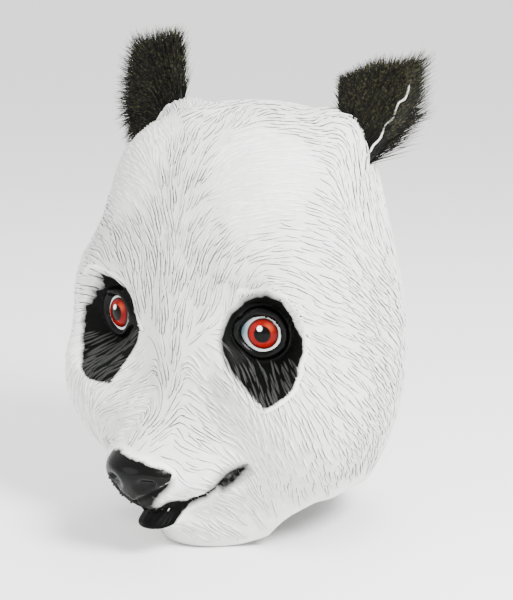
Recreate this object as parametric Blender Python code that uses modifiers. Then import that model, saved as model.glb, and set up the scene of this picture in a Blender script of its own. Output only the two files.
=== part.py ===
"""Full-head latex panda mask with domed eyes and faux-fur ears.

The mask faces -Y, its own left side is +X and +Z is up.  The origin is on the inside of the
crown, where the wearer's head touches.  All lengths are in metres.  Heights in the tables
are measured up from the chin's edge and depths back from the middle of the head.
"""
import math

import bmesh
import bpy
import numpy as np
from mathutils import Matrix, Vector
from mathutils.bvhtree import BVHTree

# Hood sizes
MASK_HEIGHT = 0.325
HALF_WIDTH = 0.117
FACE_REACH = 0.095
NAPE_REACH = 0.122
MUZZLE_REACH = 0.148
CROWN_DOME = 0.053
LATEX_WALL = 0.002
NECK_RIM_RISE = 0.049

# Eye sizes
EYE_SPACING = 0.127
EYE_HEIGHT = 0.1745
EYE_WIDTH = 0.030
EYE_TALL = 0.0265
EYE_BULGE = 0.0055
EYE_TURN = math.radians(20)
SOCKET_SINK = 0.0025
SOCKET_MARGIN = 0.0120
SOCKET_FLARE = 1.1

# Ear sizes
EAR_SPREAD = 0.050
EAR_RISE = 0.080
EAR_SWEEP = 0.020
EAR_ROOT_LENGTH = 0.043
EAR_WALL = 0.002
EAR_CUP = 0.007
FUR_DEPTH = 0.0055
LOCK_RELIEF = 0.0018

# Gap between pieces that touch
SEAT_GAP = 0.0004
ROOT_GAP = 0.0008
FUR_ROOT_GAP = 0.0022
ROOT_SEARCH = 0.020
ROOT_LEAN = 0.2

# Mesh fineness
HOOD_COLUMNS = 58
HOOD_ROWS = 32
FACE_FOCUS = 0.34
FOCUS_POWER = 4
CROWN_SPREAD = 0.36
EYE_SIDES = 20
FUR_LOCKS = 8
LOCK_COLUMNS = 3
EAR_ROWS = 6

COLLECTION = "panda_mask"
# The hood is measured from this middle point, shares of MASK_HEIGHT and NAPE_REACH.
CAST_HEIGHT = 0.46
CAST_BACK = 0.25

# Head sections, shares of MASK_HEIGHT, HALF_WIDTH, FACE_REACH and NAPE_REACH,
# then how square the section is in front and behind (2 is an ellipse).
SECTION_COLUMNS = ("height", "half_width", "front", "back", "square_front", "square_back")
SECTIONS = (
    (-0.12, 0.63, 0.65, 0.75, 2.1, 1.9),
    (0.00, 0.65, 0.68, 0.80, 2.2, 1.9),
    (0.12, 0.74, 0.78, 0.85, 2.4, 1.9),
    (0.23, 0.88, 0.88, 0.92, 2.6, 1.9),
    (0.34, 0.975, 0.94, 0.975, 3.0, 1.9),
    (0.45, 1.00, 0.955, 1.00, 3.4, 1.9),
    (0.555, 0.975, 0.955, 0.98, 3.4, 1.9),
    (0.66, 0.915, 0.95, 0.93, 3.2, 1.9),
    (0.77, 0.84, 0.925, 0.87, 3.0, 1.9),
    (0.88, 0.78, 0.84, 0.80, 2.8, 1.9),
    (1.00, 0.75, 0.80, 0.75, 2.8, 1.9),
)

# Rounded masses of the face.  Across shares HALF_WIDTH, up shares MASK_HEIGHT, and the
# forward column shares FACE_REACH or MUZZLE_REACH as its reach column says.
MASS_COLUMNS = ("name", "reach", "across", "forward", "up", "wide", "deep", "tall", "blend")
MASSES = (
    ("cheek", "face", 0.62, 0.48, 0.375, 0.41, 0.55, 0.172, 0.026),
    ("brow", "face", 0.58, 0.46, 0.585, 0.34, 0.44, 0.105, 0.030),
    ("bridge", "face", 0.00, 0.62, 0.49, 0.24, 0.38, 0.178, 0.026),
    ("muzzle", "muzzle", 0.00, 0.55, 0.243, 0.42, 0.385, 0.105, 0.034),
    ("snout", "muzzle", 0.00, 0.73, 0.228, 0.31, 0.243, 0.086, 0.014),
    ("nose", "muzzle", 0.00, 0.865, 0.247, 0.235, 0.135, 0.040, 0.006),
    ("lower_lip", "muzzle", 0.00, 0.71, 0.120, 0.135, 0.15, 0.017, 0.005),
    ("chin", "face", 0.00, 0.64, 0.111, 0.31, 0.36, 0.105, 0.018),
    ("ear_root", "nape", 0.56, -0.11, 0.925, 0.20, 0.17, 0.070, 0.014),
)

# Hollows pressed into the face, in the same columns.
HOLLOWS = (
    ("socket", "face", 0.53, 1.055, 0.553, 0.225, 0.25, 0.112, 0.010),
    ("nostril", "muzzle", 0.130, 0.990, 0.222, 0.070, 0.045, 0.018, 0.004),
    ("lip_middle", "muzzle", 0.00, 0.93, 0.143, 0.26, 0.070, 0.014, 0.005),
    ("lip_side", "muzzle", 0.29, 0.79, 0.166, 0.20, 0.110, 0.028, 0.012),
)

# Height of the neck edge round the head: degrees from the chin, share of NECK_RIM_RISE.
RIM = (
    (0, 0.26), (10, 0.25), (17, 0.24), (27, 0.25), (38, 0.33), (46, 0.44), (50, 0.60), (55, 0.74),
    (60, 0.83), (66, 0.92), (75, 0.93), (89, 1.00), (105, 0.98), (140, 0.94), (180, 0.78),
)

# Ear leaves: share along the root, then outward, back and up shares of EAR_SPREAD,
# EAR_SWEEP and EAR_RISE from the root to the fur's tip.
EAR_COLUMNS = ("along", "outward", "back", "up")
EAR_UPRIGHT = (
    (0.00, 0.14, 0.10, 0.70),
    (0.25, 0.38, 0.05, 0.82),
    (0.50, 0.62, -0.05, 0.92),
    (0.70, 0.84, -0.08, 0.98),
    (0.82, 0.94, 0.00, 0.74),
    (0.92, 0.94, 0.05, 0.34),
    (1.00, 0.66, 0.10, -0.02),
)
EAR_LEANING = (
    (0.00, 0.04, 0.00, 0.36),
    (0.20, 0.19, 0.12, 0.53),
    (0.40, 0.37, 0.28, 0.68),
    (0.60, 0.54, 0.48, 0.80),
    (0.78, 0.67, 0.68, 0.90),
    (0.90, 0.76, 0.85, 0.96),
    (1.00, 0.60, 1.10, 0.52),
)
# Where the root starts and ends on the hood: degrees round from the face and up from level.
EAR_ROOT_ROUND = (74.0, 82.5)
EAR_ROOT_UP = (67.5, 55.0)

# Side, leaf table, last share along the root for the front fur, the leaf and the back fur,
# then the leaf's gap at the root as a share of ROOT_GAP.
EARS = (
    ("left", 1.0, EAR_LEANING, 0.84, 0.87, 1.00, 2.0),
    ("right", -1.0, EAR_UPRIGHT, 1.00, 0.97, 1.00, 1.0),
)
LEAF_REACH = 0.80
VALLEY_REACH = 0.84


def smooth_row(x, xs, values):
    """Cubic curve through table rows, flat-ended at both ends of the table."""
    slopes = np.gradient(values, xs)
    x = np.clip(x, xs[0], xs[-1])
    row = np.clip(np.searchsorted(xs, x, "right") - 1, 0, len(xs) - 2)
    step = xs[row + 1] - xs[row]
    t = (x - xs[row]) / step
    start = (1 + 2 * t) * (1 - t) ** 2 * values[row] + t * (1 - t) ** 2 * step * slopes[row]
    end = t * t * (3 - 2 * t) * values[row + 1] + t * t * (t - 1) * step * slopes[row + 1]
    return start + end


def section(height, column):
    """One column of the head table at the given heights."""
    table = np.array(SECTIONS)
    scale = {"half_width": HALF_WIDTH, "front": FACE_REACH, "back": NAPE_REACH}.get(column, 1.0)
    values = table[:, SECTION_COLUMNS.index(column)] * scale
    return smooth_row(height, table[:, 0] * MASK_HEIGHT, values)


def head_distance(p):
    """Rough distance to the plain head: squarish sections closed by a flat dome."""
    x, y, z = p[..., 0], p[..., 1], p[..., 2]
    ahead = y < 0
    half = section(z, "half_width")
    reach = np.where(ahead, section(z, "front"), section(z, "back"))
    square = np.where(ahead, section(z, "square_front"), section(z, "square_back"))
    level = (np.abs(x / half) ** square + np.abs(y / reach) ** square) ** (1 / square)
    dome = np.clip((z - MASK_HEIGHT + CROWN_DOME) / CROWN_DOME, 0, None)
    flat = 2.3
    level = (level ** flat + dome ** flat) ** (1 / flat)
    scale = np.where(dome > 0, np.minimum(half, CROWN_DOME), np.minimum(half, reach))
    return (level - 1) * scale


def mass_frame(row):
    """Middle and radii of one mass or hollow in metres."""
    name, reach, across, forward, up, wide, deep, tall, blend = row
    depth = {"face": FACE_REACH, "muzzle": MUZZLE_REACH, "nape": NAPE_REACH}[reach]
    middle = np.array([across * HALF_WIDTH, -forward * depth, up * MASK_HEIGHT])
    radii = np.array([wide * HALF_WIDTH, deep * depth, tall * MASK_HEIGHT])
    return middle, radii, blend


def ball_distance(p, middle, radii):
    q = (p - middle) / radii
    k0 = np.sqrt((q * q).sum(-1))
    k1 = np.sqrt(((q / radii) ** 2).sum(-1)) + 1e-9
    return k0 * (k0 - 1) / k1


def blend_min(a, b, width):
    h = np.clip(0.5 + 0.5 * (b - a) / width, 0, 1)
    return b + (a - b) * h - width * h * (1 - h)


def clay(p):
    """Rough distance to the sculpted head before the eye seats are cut."""
    distance = head_distance(p)
    side = np.concatenate([np.abs(p[..., :1]), p[..., 1:]], -1)
    for row in MASSES:
        middle, radii, blend = mass_frame(row)
        distance = blend_min(distance, ball_distance(side, middle, radii), blend)
    for row in HOLLOWS:
        middle, radii, blend = mass_frame(row)
        distance = -blend_min(-distance, ball_distance(side, middle, radii), blend)
    return distance


def march(shape, start, heading, level=0.0, far=0.25, steps=70):
    """Walks back along rays from far outside until the shape's distance falls to level."""
    travel = np.full(heading.shape[:-1], far)
    for _ in range(steps):
        gap = shape(start + heading * travel[..., None]) - level
        travel = travel - np.clip(gap * 0.7, -0.006, 0.012)
    return start + heading * travel[..., None]


def eye_seat():
    """Middle of the left eye's flat seat and the way it faces."""
    foot = np.array([EYE_SPACING / 2, 0.0, EYE_HEIGHT])
    front = march(clay, foot, np.array([0.0, -1.0, 0.0]))
    facing = np.array([math.sin(EYE_TURN), -math.cos(EYE_TURN), 0.0])
    return front - facing * SOCKET_SINK, facing


def hood(p):
    """Rough distance to the finished head with its two flat eye seats."""
    distance = clay(p)
    middle, facing = SEAT
    side = np.concatenate([np.abs(p[..., :1]), p[..., 1:]], -1) - middle
    along = side @ facing
    off_axis = np.sqrt(np.maximum((side * side).sum(-1) - along ** 2, 0))
    funnel = (off_axis - (EYE_WIDTH / 2 + SOCKET_MARGIN) - along * SOCKET_FLARE) / math.hypot(1, SOCKET_FLARE)
    pocket = np.maximum(funnel, -along)
    return np.maximum(distance, -pocket)


def cast_start():
    return np.array([0.0, CAST_BACK * NAPE_REACH, CAST_HEIGHT * MASK_HEIGHT])


def heading(round_angle, up_angle):
    return np.stack([
        np.sin(round_angle) * np.cos(up_angle),
        -np.cos(round_angle) * np.cos(up_angle),
        np.sin(up_angle),
    ], -1)


def to_part(p):
    """From the tables' frame to the part's, whose origin is inside the crown."""
    return p - np.array([0.0, 0.0, MASK_HEIGHT - LATEX_WALL])


def rim_height(round_angle):
    turn = np.degrees(round_angle)
    table = np.array(RIM)
    return smooth_row(turn, table[:, 0], table[:, 1]) * NECK_RIM_RISE


def rim_angle(round_angle, start):
    """Downward angle of the ray that meets the hood at the neck edge's height."""
    up = np.full(round_angle.shape, -0.9)
    for _ in range(14):
        point = march(hood, start, heading(round_angle, up))
        flat = np.hypot(point[..., 0] - start[0], point[..., 1] - start[1])
        turn = np.arctan2(np.abs(point[..., 0]), -point[..., 1])
        up = up + 0.8 * (rim_height(turn) - point[..., 2]) / (flat + MASK_HEIGHT / 4)
    return up


def hood_point(columns, rows):
    """Points of the hood for shares round it (0 at the nape) and up it (0 at the rim)."""
    start = cast_start()
    half_turn = 2 * columns - 1
    focus = FACE_FOCUS * np.abs(half_turn) + (1 - FACE_FOCUS) * np.abs(half_turn) ** FOCUS_POWER
    round_angle = np.pi * focus * np.sign(half_turn)
    low = rim_angle(round_angle, start)
    share = rows * (1 - CROWN_SPREAD + CROWN_SPREAD * rows)
    up = low[None, :] + (np.pi / 2 - low[None, :]) * share[:, None]
    return march(hood, start, heading(np.broadcast_to(round_angle, up.shape), up))


def make_material(name, colour, roughness):
    material = bpy.data.materials.new(name)
    material.use_nodes = True
    shader = material.node_tree.nodes["Principled BSDF"]
    shader.inputs["Base Color"].default_value = (*colour, 1.0)
    shader.inputs["Roughness"].default_value = roughness
    shader.inputs["Metallic"].default_value = 0.0
    material.diffuse_color = (*colour, 1.0)
    return material


def add_object(name, mesh_data, material):
    obj = bpy.data.objects.new(name, mesh_data)
    mesh_data.materials.append(material)
    bpy.data.collections[COLLECTION].objects.link(obj)
    return obj


def grid_mesh(name, points, smooth=True):
    """A grid primitive whose vertices are moved to points[row][column]."""
    rows, columns = points.shape[:2]
    bm = bmesh.new()
    bmesh.ops.create_grid(bm, x_segments=columns - 1, y_segments=rows - 1, size=0.5)
    for vert in bm.verts:
        column = round((vert.co.x + 0.5) * (columns - 1))
        row = round((vert.co.y + 0.5) * (rows - 1))
        vert.co = Vector(points[row, column])
    bmesh.ops.remove_doubles(bm, verts=bm.verts, dist=1e-6)
    mesh_data = bpy.data.meshes.new(name)
    bm.to_mesh(mesh_data)
    bm.free()
    if smooth:
        mesh_data.shade_smooth()
    return mesh_data


def build_hood():
    columns = np.linspace(0, 1, HOOD_COLUMNS + 1)
    rows = np.linspace(0, 1, HOOD_ROWS + 1)
    points = to_part(hood_point(columns, rows))
    points[:, -1] = points[:, 0]
    points[-1] = points[-1].mean(0)
    obj = add_object("mask_shell", grid_mesh("mask_shell", points),
                     make_material("white_latex", (0.86, 0.87, 0.86), 0.45))
    wall = obj.modifiers.new("latex_wall", "SOLIDIFY")
    wall.thickness = LATEX_WALL
    wall.offset = -1
    return obj


def build_eye(side, sign, material):
    """A domed insert: the cap of a sphere, oval, with a pointed inner corner."""
    half = EYE_WIDTH / 2
    ball = (half ** 2 + EYE_BULGE ** 2) / (2 * EYE_BULGE)
    bm = bmesh.new()
    bmesh.ops.create_uvsphere(bm, u_segments=EYE_SIDES, v_segments=28, radius=ball,
                              matrix=Matrix.Rotation(math.pi / 2, 4, "X"))
    cut = bmesh.ops.bisect_plane(bm, geom=bm.verts[:] + bm.edges[:] + bm.faces[:], dist=1e-7,
                                 plane_co=(0, EYE_BULGE - ball, 0), plane_no=(0, 1, 0), clear_outer=True)
    rim_edges = [item for item in cut["geom_cut"] if isinstance(item, bmesh.types.BMEdge)]
    bmesh.ops.contextual_create(bm, geom=rim_edges)
    bmesh.ops.translate(bm, verts=bm.verts, vec=(0, ball - EYE_BULGE, 0))
    for vert in bm.verts:
        vert.co.z *= EYE_TALL / EYE_WIDTH
        inner = max(0.0, -sign * vert.co.x / half)
        vert.co.z *= 1 - 0.22 * inner ** 2
    bmesh.ops.recalc_face_normals(bm, faces=bm.faces)
    mesh_data = bpy.data.meshes.new("eye_" + side)
    bm.to_mesh(mesh_data)
    bm.free()
    mesh_data.shade_smooth()
    mesh_data.set_sharp_from_angle(angle=math.radians(50))
    middle, facing = SEAT
    place = to_part(middle + facing * SEAT_GAP) * np.array([sign, 1, 1])
    obj = add_object("eye_" + side, mesh_data, material)
    obj.location = place
    obj.rotation_euler = (0, 0, sign * EYE_TURN)
    return obj


def leaf_row(table, along, column):
    values = np.array(table)
    return smooth_row(along, values[:, 0], values[:, EAR_COLUMNS.index(column)])


def leaf_middle(table, along, reach):
    """Mid-surface of an ear leaf on the left side: shares along the root and out to the tip."""
    start = cast_start()
    ends = heading(np.radians(np.array(EAR_ROOT_ROUND)), np.radians(np.array(EAR_ROOT_UP)))
    inner, outer = march(hood, start, ends)
    slope = (outer - inner) / np.linalg.norm(outer - inner)
    mid = (inner + outer) / 2
    root = mid + slope * ((along - 0.5) * EAR_ROOT_LENGTH)[..., None]
    tip = np.stack([
        leaf_row(table, along, "outward") * EAR_SPREAD,
        leaf_row(table, along, "back") * EAR_SWEEP,
        leaf_row(table, along, "up") * EAR_RISE,
    ], -1)
    cup = np.sin(np.pi * np.clip(along, 0, 1)) * np.sin(np.pi * 0.6 * reach)
    return root + tip * reach[..., None] + np.array([0, 1, 0]) * (EAR_CUP * cup)[..., None]


def leaf_normal(table, along, reach):
    """Unit normal of the mid-surface, pointing to the front of the mask."""
    step = 0.02
    one = leaf_middle(table, along + step, reach) - leaf_middle(table, along - step, reach)
    two = leaf_middle(table, along, reach + step) - leaf_middle(table, along, reach - step)
    normal = np.cross(one, two)
    normal /= np.linalg.norm(normal, axis=-1, keepdims=True) + 1e-12
    return np.where(normal[..., 1:2] > 0, -normal, normal)


def leaf_sheet(table, along, reach, offset, sign):
    """A sheet beside the mid-surface, in the part's frame, on the side of the given sign."""
    flat = leaf_middle(table, along, reach) + leaf_normal(table, along, reach) * offset[..., None]
    return to_part(flat) * np.array([sign, 1, 1])


def seat_on_hood(sheet, tree, gap):
    """Slides each column of a sheet along itself so that its foot stands just off the hood."""
    rows, columns = sheet.shape[:2]
    seated = sheet.copy()
    for column in range(columns):
        way = sheet[2, column] - sheet[0, column]
        way = way / np.linalg.norm(way)
        lifts = []
        for row in range(rows):
            above = sheet[row, column] + way * ROOT_SEARCH
            hit = tree.ray_cast(Vector(above), Vector(-way), 2 * ROOT_SEARCH)
            if hit[0] is None:
                lifts.append(0.0)
            else:
                lean = max(ROOT_LEAN, abs(hit[1].dot(Vector(way))))
                lifts.append(ROOT_SEARCH - hit[3] + gap / lean)
        for row in range(rows):
            fade = 1 - row / (rows - 1)
            lift = lifts[0] * fade if row == 0 else max(lifts[0] * fade, lifts[row])
            seated[row, column] = sheet[row, column] + way * lift
    return seated


def slab_mesh(name, front, back):
    """One closed body between two sheets that share their rows and columns."""
    rows, columns = front.shape[:2]
    bm = bmesh.new()
    sheets = []
    for sheet in (front, back):
        sheets.append([[bm.verts.new(sheet[r, c]) for c in range(columns)] for r in range(rows)])
    for grid in sheets:
        for r in range(rows - 1):
            for c in range(columns - 1):
                bm.faces.new((grid[r][c], grid[r][c + 1], grid[r + 1][c + 1], grid[r + 1][c]))
    border = [(0, c) for c in range(columns)] + [(r, columns - 1) for r in range(1, rows)]
    border += [(rows - 1, c) for c in range(columns - 2, -1, -1)] + [(r, 0) for r in range(rows - 2, 0, -1)]
    for (r0, c0), (r1, c1) in zip(border, border[1:] + border[:1]):
        bm.faces.new((sheets[0][r0][c0], sheets[0][r1][c1], sheets[1][r1][c1], sheets[1][r0][c0]))
    bmesh.ops.recalc_face_normals(bm, faces=bm.faces)
    mesh_data = bpy.data.meshes.new(name)
    bm.to_mesh(mesh_data)
    bm.free()
    mesh_data.shade_smooth()
    mesh_data.set_sharp_from_angle(angle=math.radians(40))
    return mesh_data


def ear_grid(first, last, tips=None):
    """Shares along the root and out to the tip for a leaf, or for a fur pad with its own tips."""
    columns = FUR_LOCKS * LOCK_COLUMNS + 1
    reach = np.repeat(np.linspace(0, LEAF_REACH, EAR_ROWS)[:, None], columns, 1)
    if tips is not None:
        reach = np.vstack([reach, tips])
    along = np.broadcast_to(np.linspace(first, last, columns), reach.shape)
    return along, reach


def build_leaf(side, sign, table, last, gap, tree, material):
    along, reach = ear_grid(0.0, last)
    half = np.full(along.shape, EAR_WALL / 2)
    front = seat_on_hood(leaf_sheet(table, along, reach, half, sign), tree, gap)
    back = seat_on_hood(leaf_sheet(table, along, reach, -half, sign), tree, gap)
    return add_object("ear_lobe_" + side, slab_mesh("ear_lobe_" + side, front, back), material)


def build_fur(side, sign, table, face, last, tree, material):
    """A fur pad in locks: each lock is a raised rib that runs past the backing to its own tip."""
    columns = FUR_LOCKS * LOCK_COLUMNS + 1
    order = np.arange(columns)
    rise = np.where(order % LOCK_COLUMNS == 0, 0.0, np.where(order % LOCK_COLUMNS == 1, 1.0, 0.75))
    lock = order // LOCK_COLUMNS
    stagger = 1 - 0.05 * (lock % 2) - 0.03 * (lock % 3)
    tips = np.where(rise > 0, (0.9 + 0.1 * rise) * stagger, VALLEY_REACH)
    along, reach = ear_grid(0.0, last, tips)
    inner = np.full(along.shape, EAR_WALL / 2 + SEAT_GAP)
    taper = 1 - 0.75 * (reach / tips) ** 2
    tiers = 1 - 0.12 * ((np.arange(EAR_ROWS + 1) % 2)[:, None])
    outer = inner + FUR_DEPTH * taper * tiers + LOCK_RELIEF * rise * np.sqrt(taper)
    near = seat_on_hood(leaf_sheet(table, along, reach, face * inner, sign), tree, FUR_ROOT_GAP)
    away = seat_on_hood(leaf_sheet(table, along, reach, face * outer, sign), tree, FUR_ROOT_GAP)
    name = "ear_fur_" + ("front_" if face > 0 else "back_") + side
    return add_object(name, slab_mesh(name, away, near), material)


SEAT = eye_seat()


def main():
    for obj in list(bpy.data.objects):
        bpy.data.objects.remove(obj, do_unlink=True)
    collection = bpy.data.collections.new(COLLECTION)
    bpy.context.scene.collection.children.link(collection)
    hood_object = build_hood()
    tree = BVHTree.FromPolygons([vert.co for vert in hood_object.data.vertices],
                                [face.vertices[:] for face in hood_object.data.polygons])
    eye_material = make_material("red_eye", (0.55, 0.03, 0.02), 0.08)
    leaf_material = make_material("ear_latex", (0.80, 0.81, 0.79), 0.5)
    fur_material = make_material("black_fur", (0.03, 0.03, 0.025), 0.9)
    for side, sign in (("left", 1.0), ("right", -1.0)):
        build_eye(side, sign, eye_material)
    for side, sign, table, front_last, leaf_last, back_last, gap_share in EARS:
        build_leaf(side, sign, table, leaf_last, ROOT_GAP * gap_share, tree, leaf_material)
        build_fur(side, sign, table, 1.0, front_last, tree, fur_material)
        build_fur(side, sign, table, -1.0, back_last, tree, fur_material)


main()
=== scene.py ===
"""Full-head panda mask: cast latex with sculpted hair, domed eyes and faux-fur ears.

The mask faces -Y, its own left side is +X and +Z is up.  Lengths are in metres unless a name
says millimetres.  A place on the hood is given in degrees: round from the face towards the
own left side, and up from level, both seen from one middle point inside the hood.
"""
import itertools
import math

import bmesh
import bpy
import numpy as np
from bpy.props import FloatProperty, FloatVectorProperty, IntProperty, PointerProperty
from mathutils import Matrix, Vector


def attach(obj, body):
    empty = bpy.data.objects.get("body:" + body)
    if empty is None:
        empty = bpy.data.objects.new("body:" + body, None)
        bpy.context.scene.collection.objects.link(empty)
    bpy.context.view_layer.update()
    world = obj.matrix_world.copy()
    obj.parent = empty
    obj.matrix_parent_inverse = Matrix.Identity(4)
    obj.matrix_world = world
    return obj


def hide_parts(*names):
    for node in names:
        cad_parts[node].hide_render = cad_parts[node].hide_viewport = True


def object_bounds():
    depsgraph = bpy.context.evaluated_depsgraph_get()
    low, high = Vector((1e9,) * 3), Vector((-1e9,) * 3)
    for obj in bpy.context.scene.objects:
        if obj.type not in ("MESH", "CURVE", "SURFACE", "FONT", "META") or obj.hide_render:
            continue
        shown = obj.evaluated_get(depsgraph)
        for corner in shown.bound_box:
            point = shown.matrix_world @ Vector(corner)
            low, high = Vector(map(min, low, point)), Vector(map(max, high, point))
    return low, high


bl_info = {
    "name": "Panda mask",
    "version": (1, 0, 0),
    "blender": (4, 5, 0),
    "location": "View3D > Sidebar > Mask",
    "description": "Makes the latex skin, sculpted hair, eyes and fur ears of a panda mask",
    "category": "Object",
}

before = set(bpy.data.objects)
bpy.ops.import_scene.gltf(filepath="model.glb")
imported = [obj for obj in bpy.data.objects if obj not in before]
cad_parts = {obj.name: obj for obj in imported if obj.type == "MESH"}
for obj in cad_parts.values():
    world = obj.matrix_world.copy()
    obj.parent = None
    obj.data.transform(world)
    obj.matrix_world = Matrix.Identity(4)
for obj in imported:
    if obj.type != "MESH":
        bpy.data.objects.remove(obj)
CAD_BOX = [list(corner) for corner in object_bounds()]

# Head form, the same names and values as the CAD solid.
MASK_HEIGHT = 0.325
HALF_WIDTH = 0.117
FACE_REACH = 0.095
NAPE_REACH = 0.122
MUZZLE_REACH = 0.148
CROWN_DOME = 0.053
LATEX_WALL = 0.002
NECK_RIM_RISE = 0.049
EYE_SPACING = 0.127
EYE_HEIGHT = 0.1745
EYE_WIDTH = 0.030
EYE_TALL = 0.0265
EYE_BULGE = 0.0055
EYE_TURN = math.radians(20)
SOCKET_SINK = 0.0025
EYE_GAP = 0.0004
EAR_SPREAD = 0.050
EAR_RISE = 0.080
EAR_SWEEP = 0.020
EAR_ROOT_LENGTH = 0.043
EAR_WALL = 0.002
EAR_CUP = 0.007
EYE_PINCH = 0.22
SOCKET_MARGIN = 0.0062
SOCKET_SLANT = 0.75
LID_CREST = 0.0026
LID_THICKNESS = 0.0027
LID_UPPER_EXTRA = 0.0004
CAST_MIDDLE = np.array([0.0, 0.0305, 0.1495])

SECTION_COLUMNS = ("height", "half_width", "front", "back", "square_front", "square_back")
SECTIONS = (
    (-0.12, 0.63, 0.65, 0.75, 2.1, 1.9),
    (0.00, 0.65, 0.68, 0.80, 2.2, 1.9),
    (0.12, 0.74, 0.78, 0.85, 2.4, 1.9),
    (0.23, 0.88, 0.88, 0.92, 2.6, 1.9),
    (0.34, 0.975, 0.94, 0.975, 3.0, 1.9),
    (0.45, 1.00, 0.955, 1.00, 3.4, 1.9),
    (0.555, 0.975, 0.955, 0.98, 3.4, 1.9),
    (0.66, 0.915, 0.95, 0.93, 3.2, 1.9),
    (0.77, 0.84, 0.925, 0.87, 3.0, 1.9),
    (0.88, 0.78, 0.84, 0.80, 2.8, 1.9),
    (1.00, 0.75, 0.80, 0.75, 2.8, 1.9),
)
MASSES = (
    ("cheek", "face", 0.62, 0.48, 0.375, 0.41, 0.55, 0.172, 0.026),
    ("brow", "face", 0.58, 0.46, 0.585, 0.34, 0.44, 0.105, 0.030),
    ("bridge", "face", 0.00, 0.62, 0.49, 0.24, 0.38, 0.178, 0.026),
    ("muzzle", "muzzle", 0.00, 0.55, 0.243, 0.42, 0.385, 0.105, 0.034),
    ("snout", "muzzle", 0.00, 0.73, 0.228, 0.31, 0.243, 0.086, 0.014),
    ("nose", "muzzle", 0.00, 0.865, 0.247, 0.235, 0.135, 0.040, 0.006),
    ("lower_lip", "muzzle", 0.00, 0.71, 0.120, 0.135, 0.15, 0.017, 0.005),
    ("chin", "face", 0.00, 0.64, 0.111, 0.31, 0.36, 0.105, 0.018),
    ("ear_root", "nape", 0.56, -0.11, 0.925, 0.20, 0.17, 0.070, 0.014),
)
HOLLOWS = (
    ("socket", "face", 0.53, 1.055, 0.553, 0.225, 0.25, 0.112, 0.010),
    ("nostril", "muzzle", 0.130, 0.990, 0.222, 0.070, 0.045, 0.018, 0.004),
    ("lip_middle", "muzzle", 0.00, 0.93, 0.143, 0.26, 0.070, 0.014, 0.005),
    ("lip_side", "muzzle", 0.29, 0.79, 0.166, 0.20, 0.110, 0.028, 0.012),
)
RIM = (
    (0, 0.26), (10, 0.25), (17, 0.24), (27, 0.25), (38, 0.33), (46, 0.44), (50, 0.60), (55, 0.74),
    (60, 0.83), (66, 0.92), (75, 0.93), (89, 1.00), (105, 0.98), (140, 0.94), (180, 0.78),
)

EAR_COLUMNS = ("along", "outward", "back", "up")
EAR_UPRIGHT = (
    (0.00, 0.14, 0.10, 0.70),
    (0.25, 0.38, 0.05, 0.82),
    (0.50, 0.62, -0.05, 0.92),
    (0.70, 0.84, -0.08, 0.98),
    (0.82, 0.94, 0.00, 0.74),
    (0.92, 0.94, 0.05, 0.34),
    (1.00, 0.66, 0.10, -0.02),
)
EAR_LEANING = (
    (0.00, 0.04, 0.00, 0.36),
    (0.20, 0.19, 0.12, 0.53),
    (0.40, 0.37, 0.28, 0.68),
    (0.60, 0.54, 0.48, 0.80),
    (0.78, 0.67, 0.68, 0.90),
    (0.90, 0.76, 0.85, 0.96),
    (1.00, 0.60, 1.10, 0.52),
)
EAR_ROOT_ROUND = (74.0, 82.5)
EAR_ROOT_UP = (67.5, 55.0)
EARS = (
    ("left", 1.0, EAR_LEANING, 0.84, 1.00),
    ("right", -1.0, EAR_UPRIGHT, 1.00, 1.00),
)

# Places on the hood, in degrees round and up.  The two black eye patches aren't alike.
LEFT_EYE_PATCH = (
    (25.2, 21.7), (28.9, 22.8), (32.7, 22.5), (37.0, 20.3), (40.1, 16.1), (42.5, 10.1), (42.6, 6.5),
    (41.5, 3.8), (40.9, 0.5), (39.4, -2.7), (37.7, -4.6), (34.3, -7.0), (32.6, -8.0), (30.4, -6.8),
    (26.8, -4.7), (23.1, -2.3), (20.0, 0.6), (17.9, 4.7), (17.0, 8.8), (18.0, 13.1), (20.1, 17.6),
)
RIGHT_EYE_PATCH = (
    (-33.8, 21.8), (-31.0, 21.8), (-28.1, 20.8), (-21.0, 15.7), (-14.1, 8.4), (-15.5, 3.9),
    (-18.0, -0.4), (-20.5, -5.2), (-23.0, -9.2), (-26.2, -8.9), (-29.5, -8.3), (-33.2, -5.9),
    (-36.8, -2.9), (-40.0, 1.2), (-41.9, 6.2), (-42.2, 10.0), (-40.4, 15.5), (-36.8, 19.6),
)
NOSE_PATCH = (
    (-9.9, -22.0), (-8.8, -20.0), (-6.0, -18.8), (-2.6, -18.6), (2.9, -19.1), (6.7, -20.2),
    (8.7, -21.0), (10.1, -22.3), (9.7, -23.6), (7.4, -24.7), (4.8, -25.6), (2.1, -26.8),
    (0.0, -28.1), (-2.1, -26.8), (-4.8, -25.6), (-7.4, -24.7), (-9.6, -23.6),
)
# Airbrushed black between the nose and the mouth.
MUZZLE_SHADE = (
    (10.3, -23.2), (9.8, -25.0), (7.5, -26.6), (5.6, -28.4), (4.2, -30.6), (3.2, -34.0),
    (-2.4, -34.4), (-8.0, -34.0), (-11.0, -29.0), (-12.0, -23.5), (-9.6, -20.8), (-4.0, -23.0),
    (2.0, -23.5),
)
LIP_PATCH = (
    (-8.8, -36.0), (-5.0, -33.4), (0.0, -32.5), (3.2, -32.4), (4.9, -34.0), (7.9, -36.1),
    (8.6, -36.9), (6.6, -37.9), (5.3, -38.0), (3.8, -38.2), (0.7, -38.6), (-2.0, -38.6),
    (-5.5, -37.8), (-7.8, -37.2),
)
# Painted shade in the fold at each corner of the mouth.
MOUTH_CORNER = (
    (15.5, -31.0), (18.0, -28.6), (20.9, -26.2), (26.5, -25.2), (28.2, -27.0), (23.4, -31.2),
    (19.8, -32.6),
)
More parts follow.
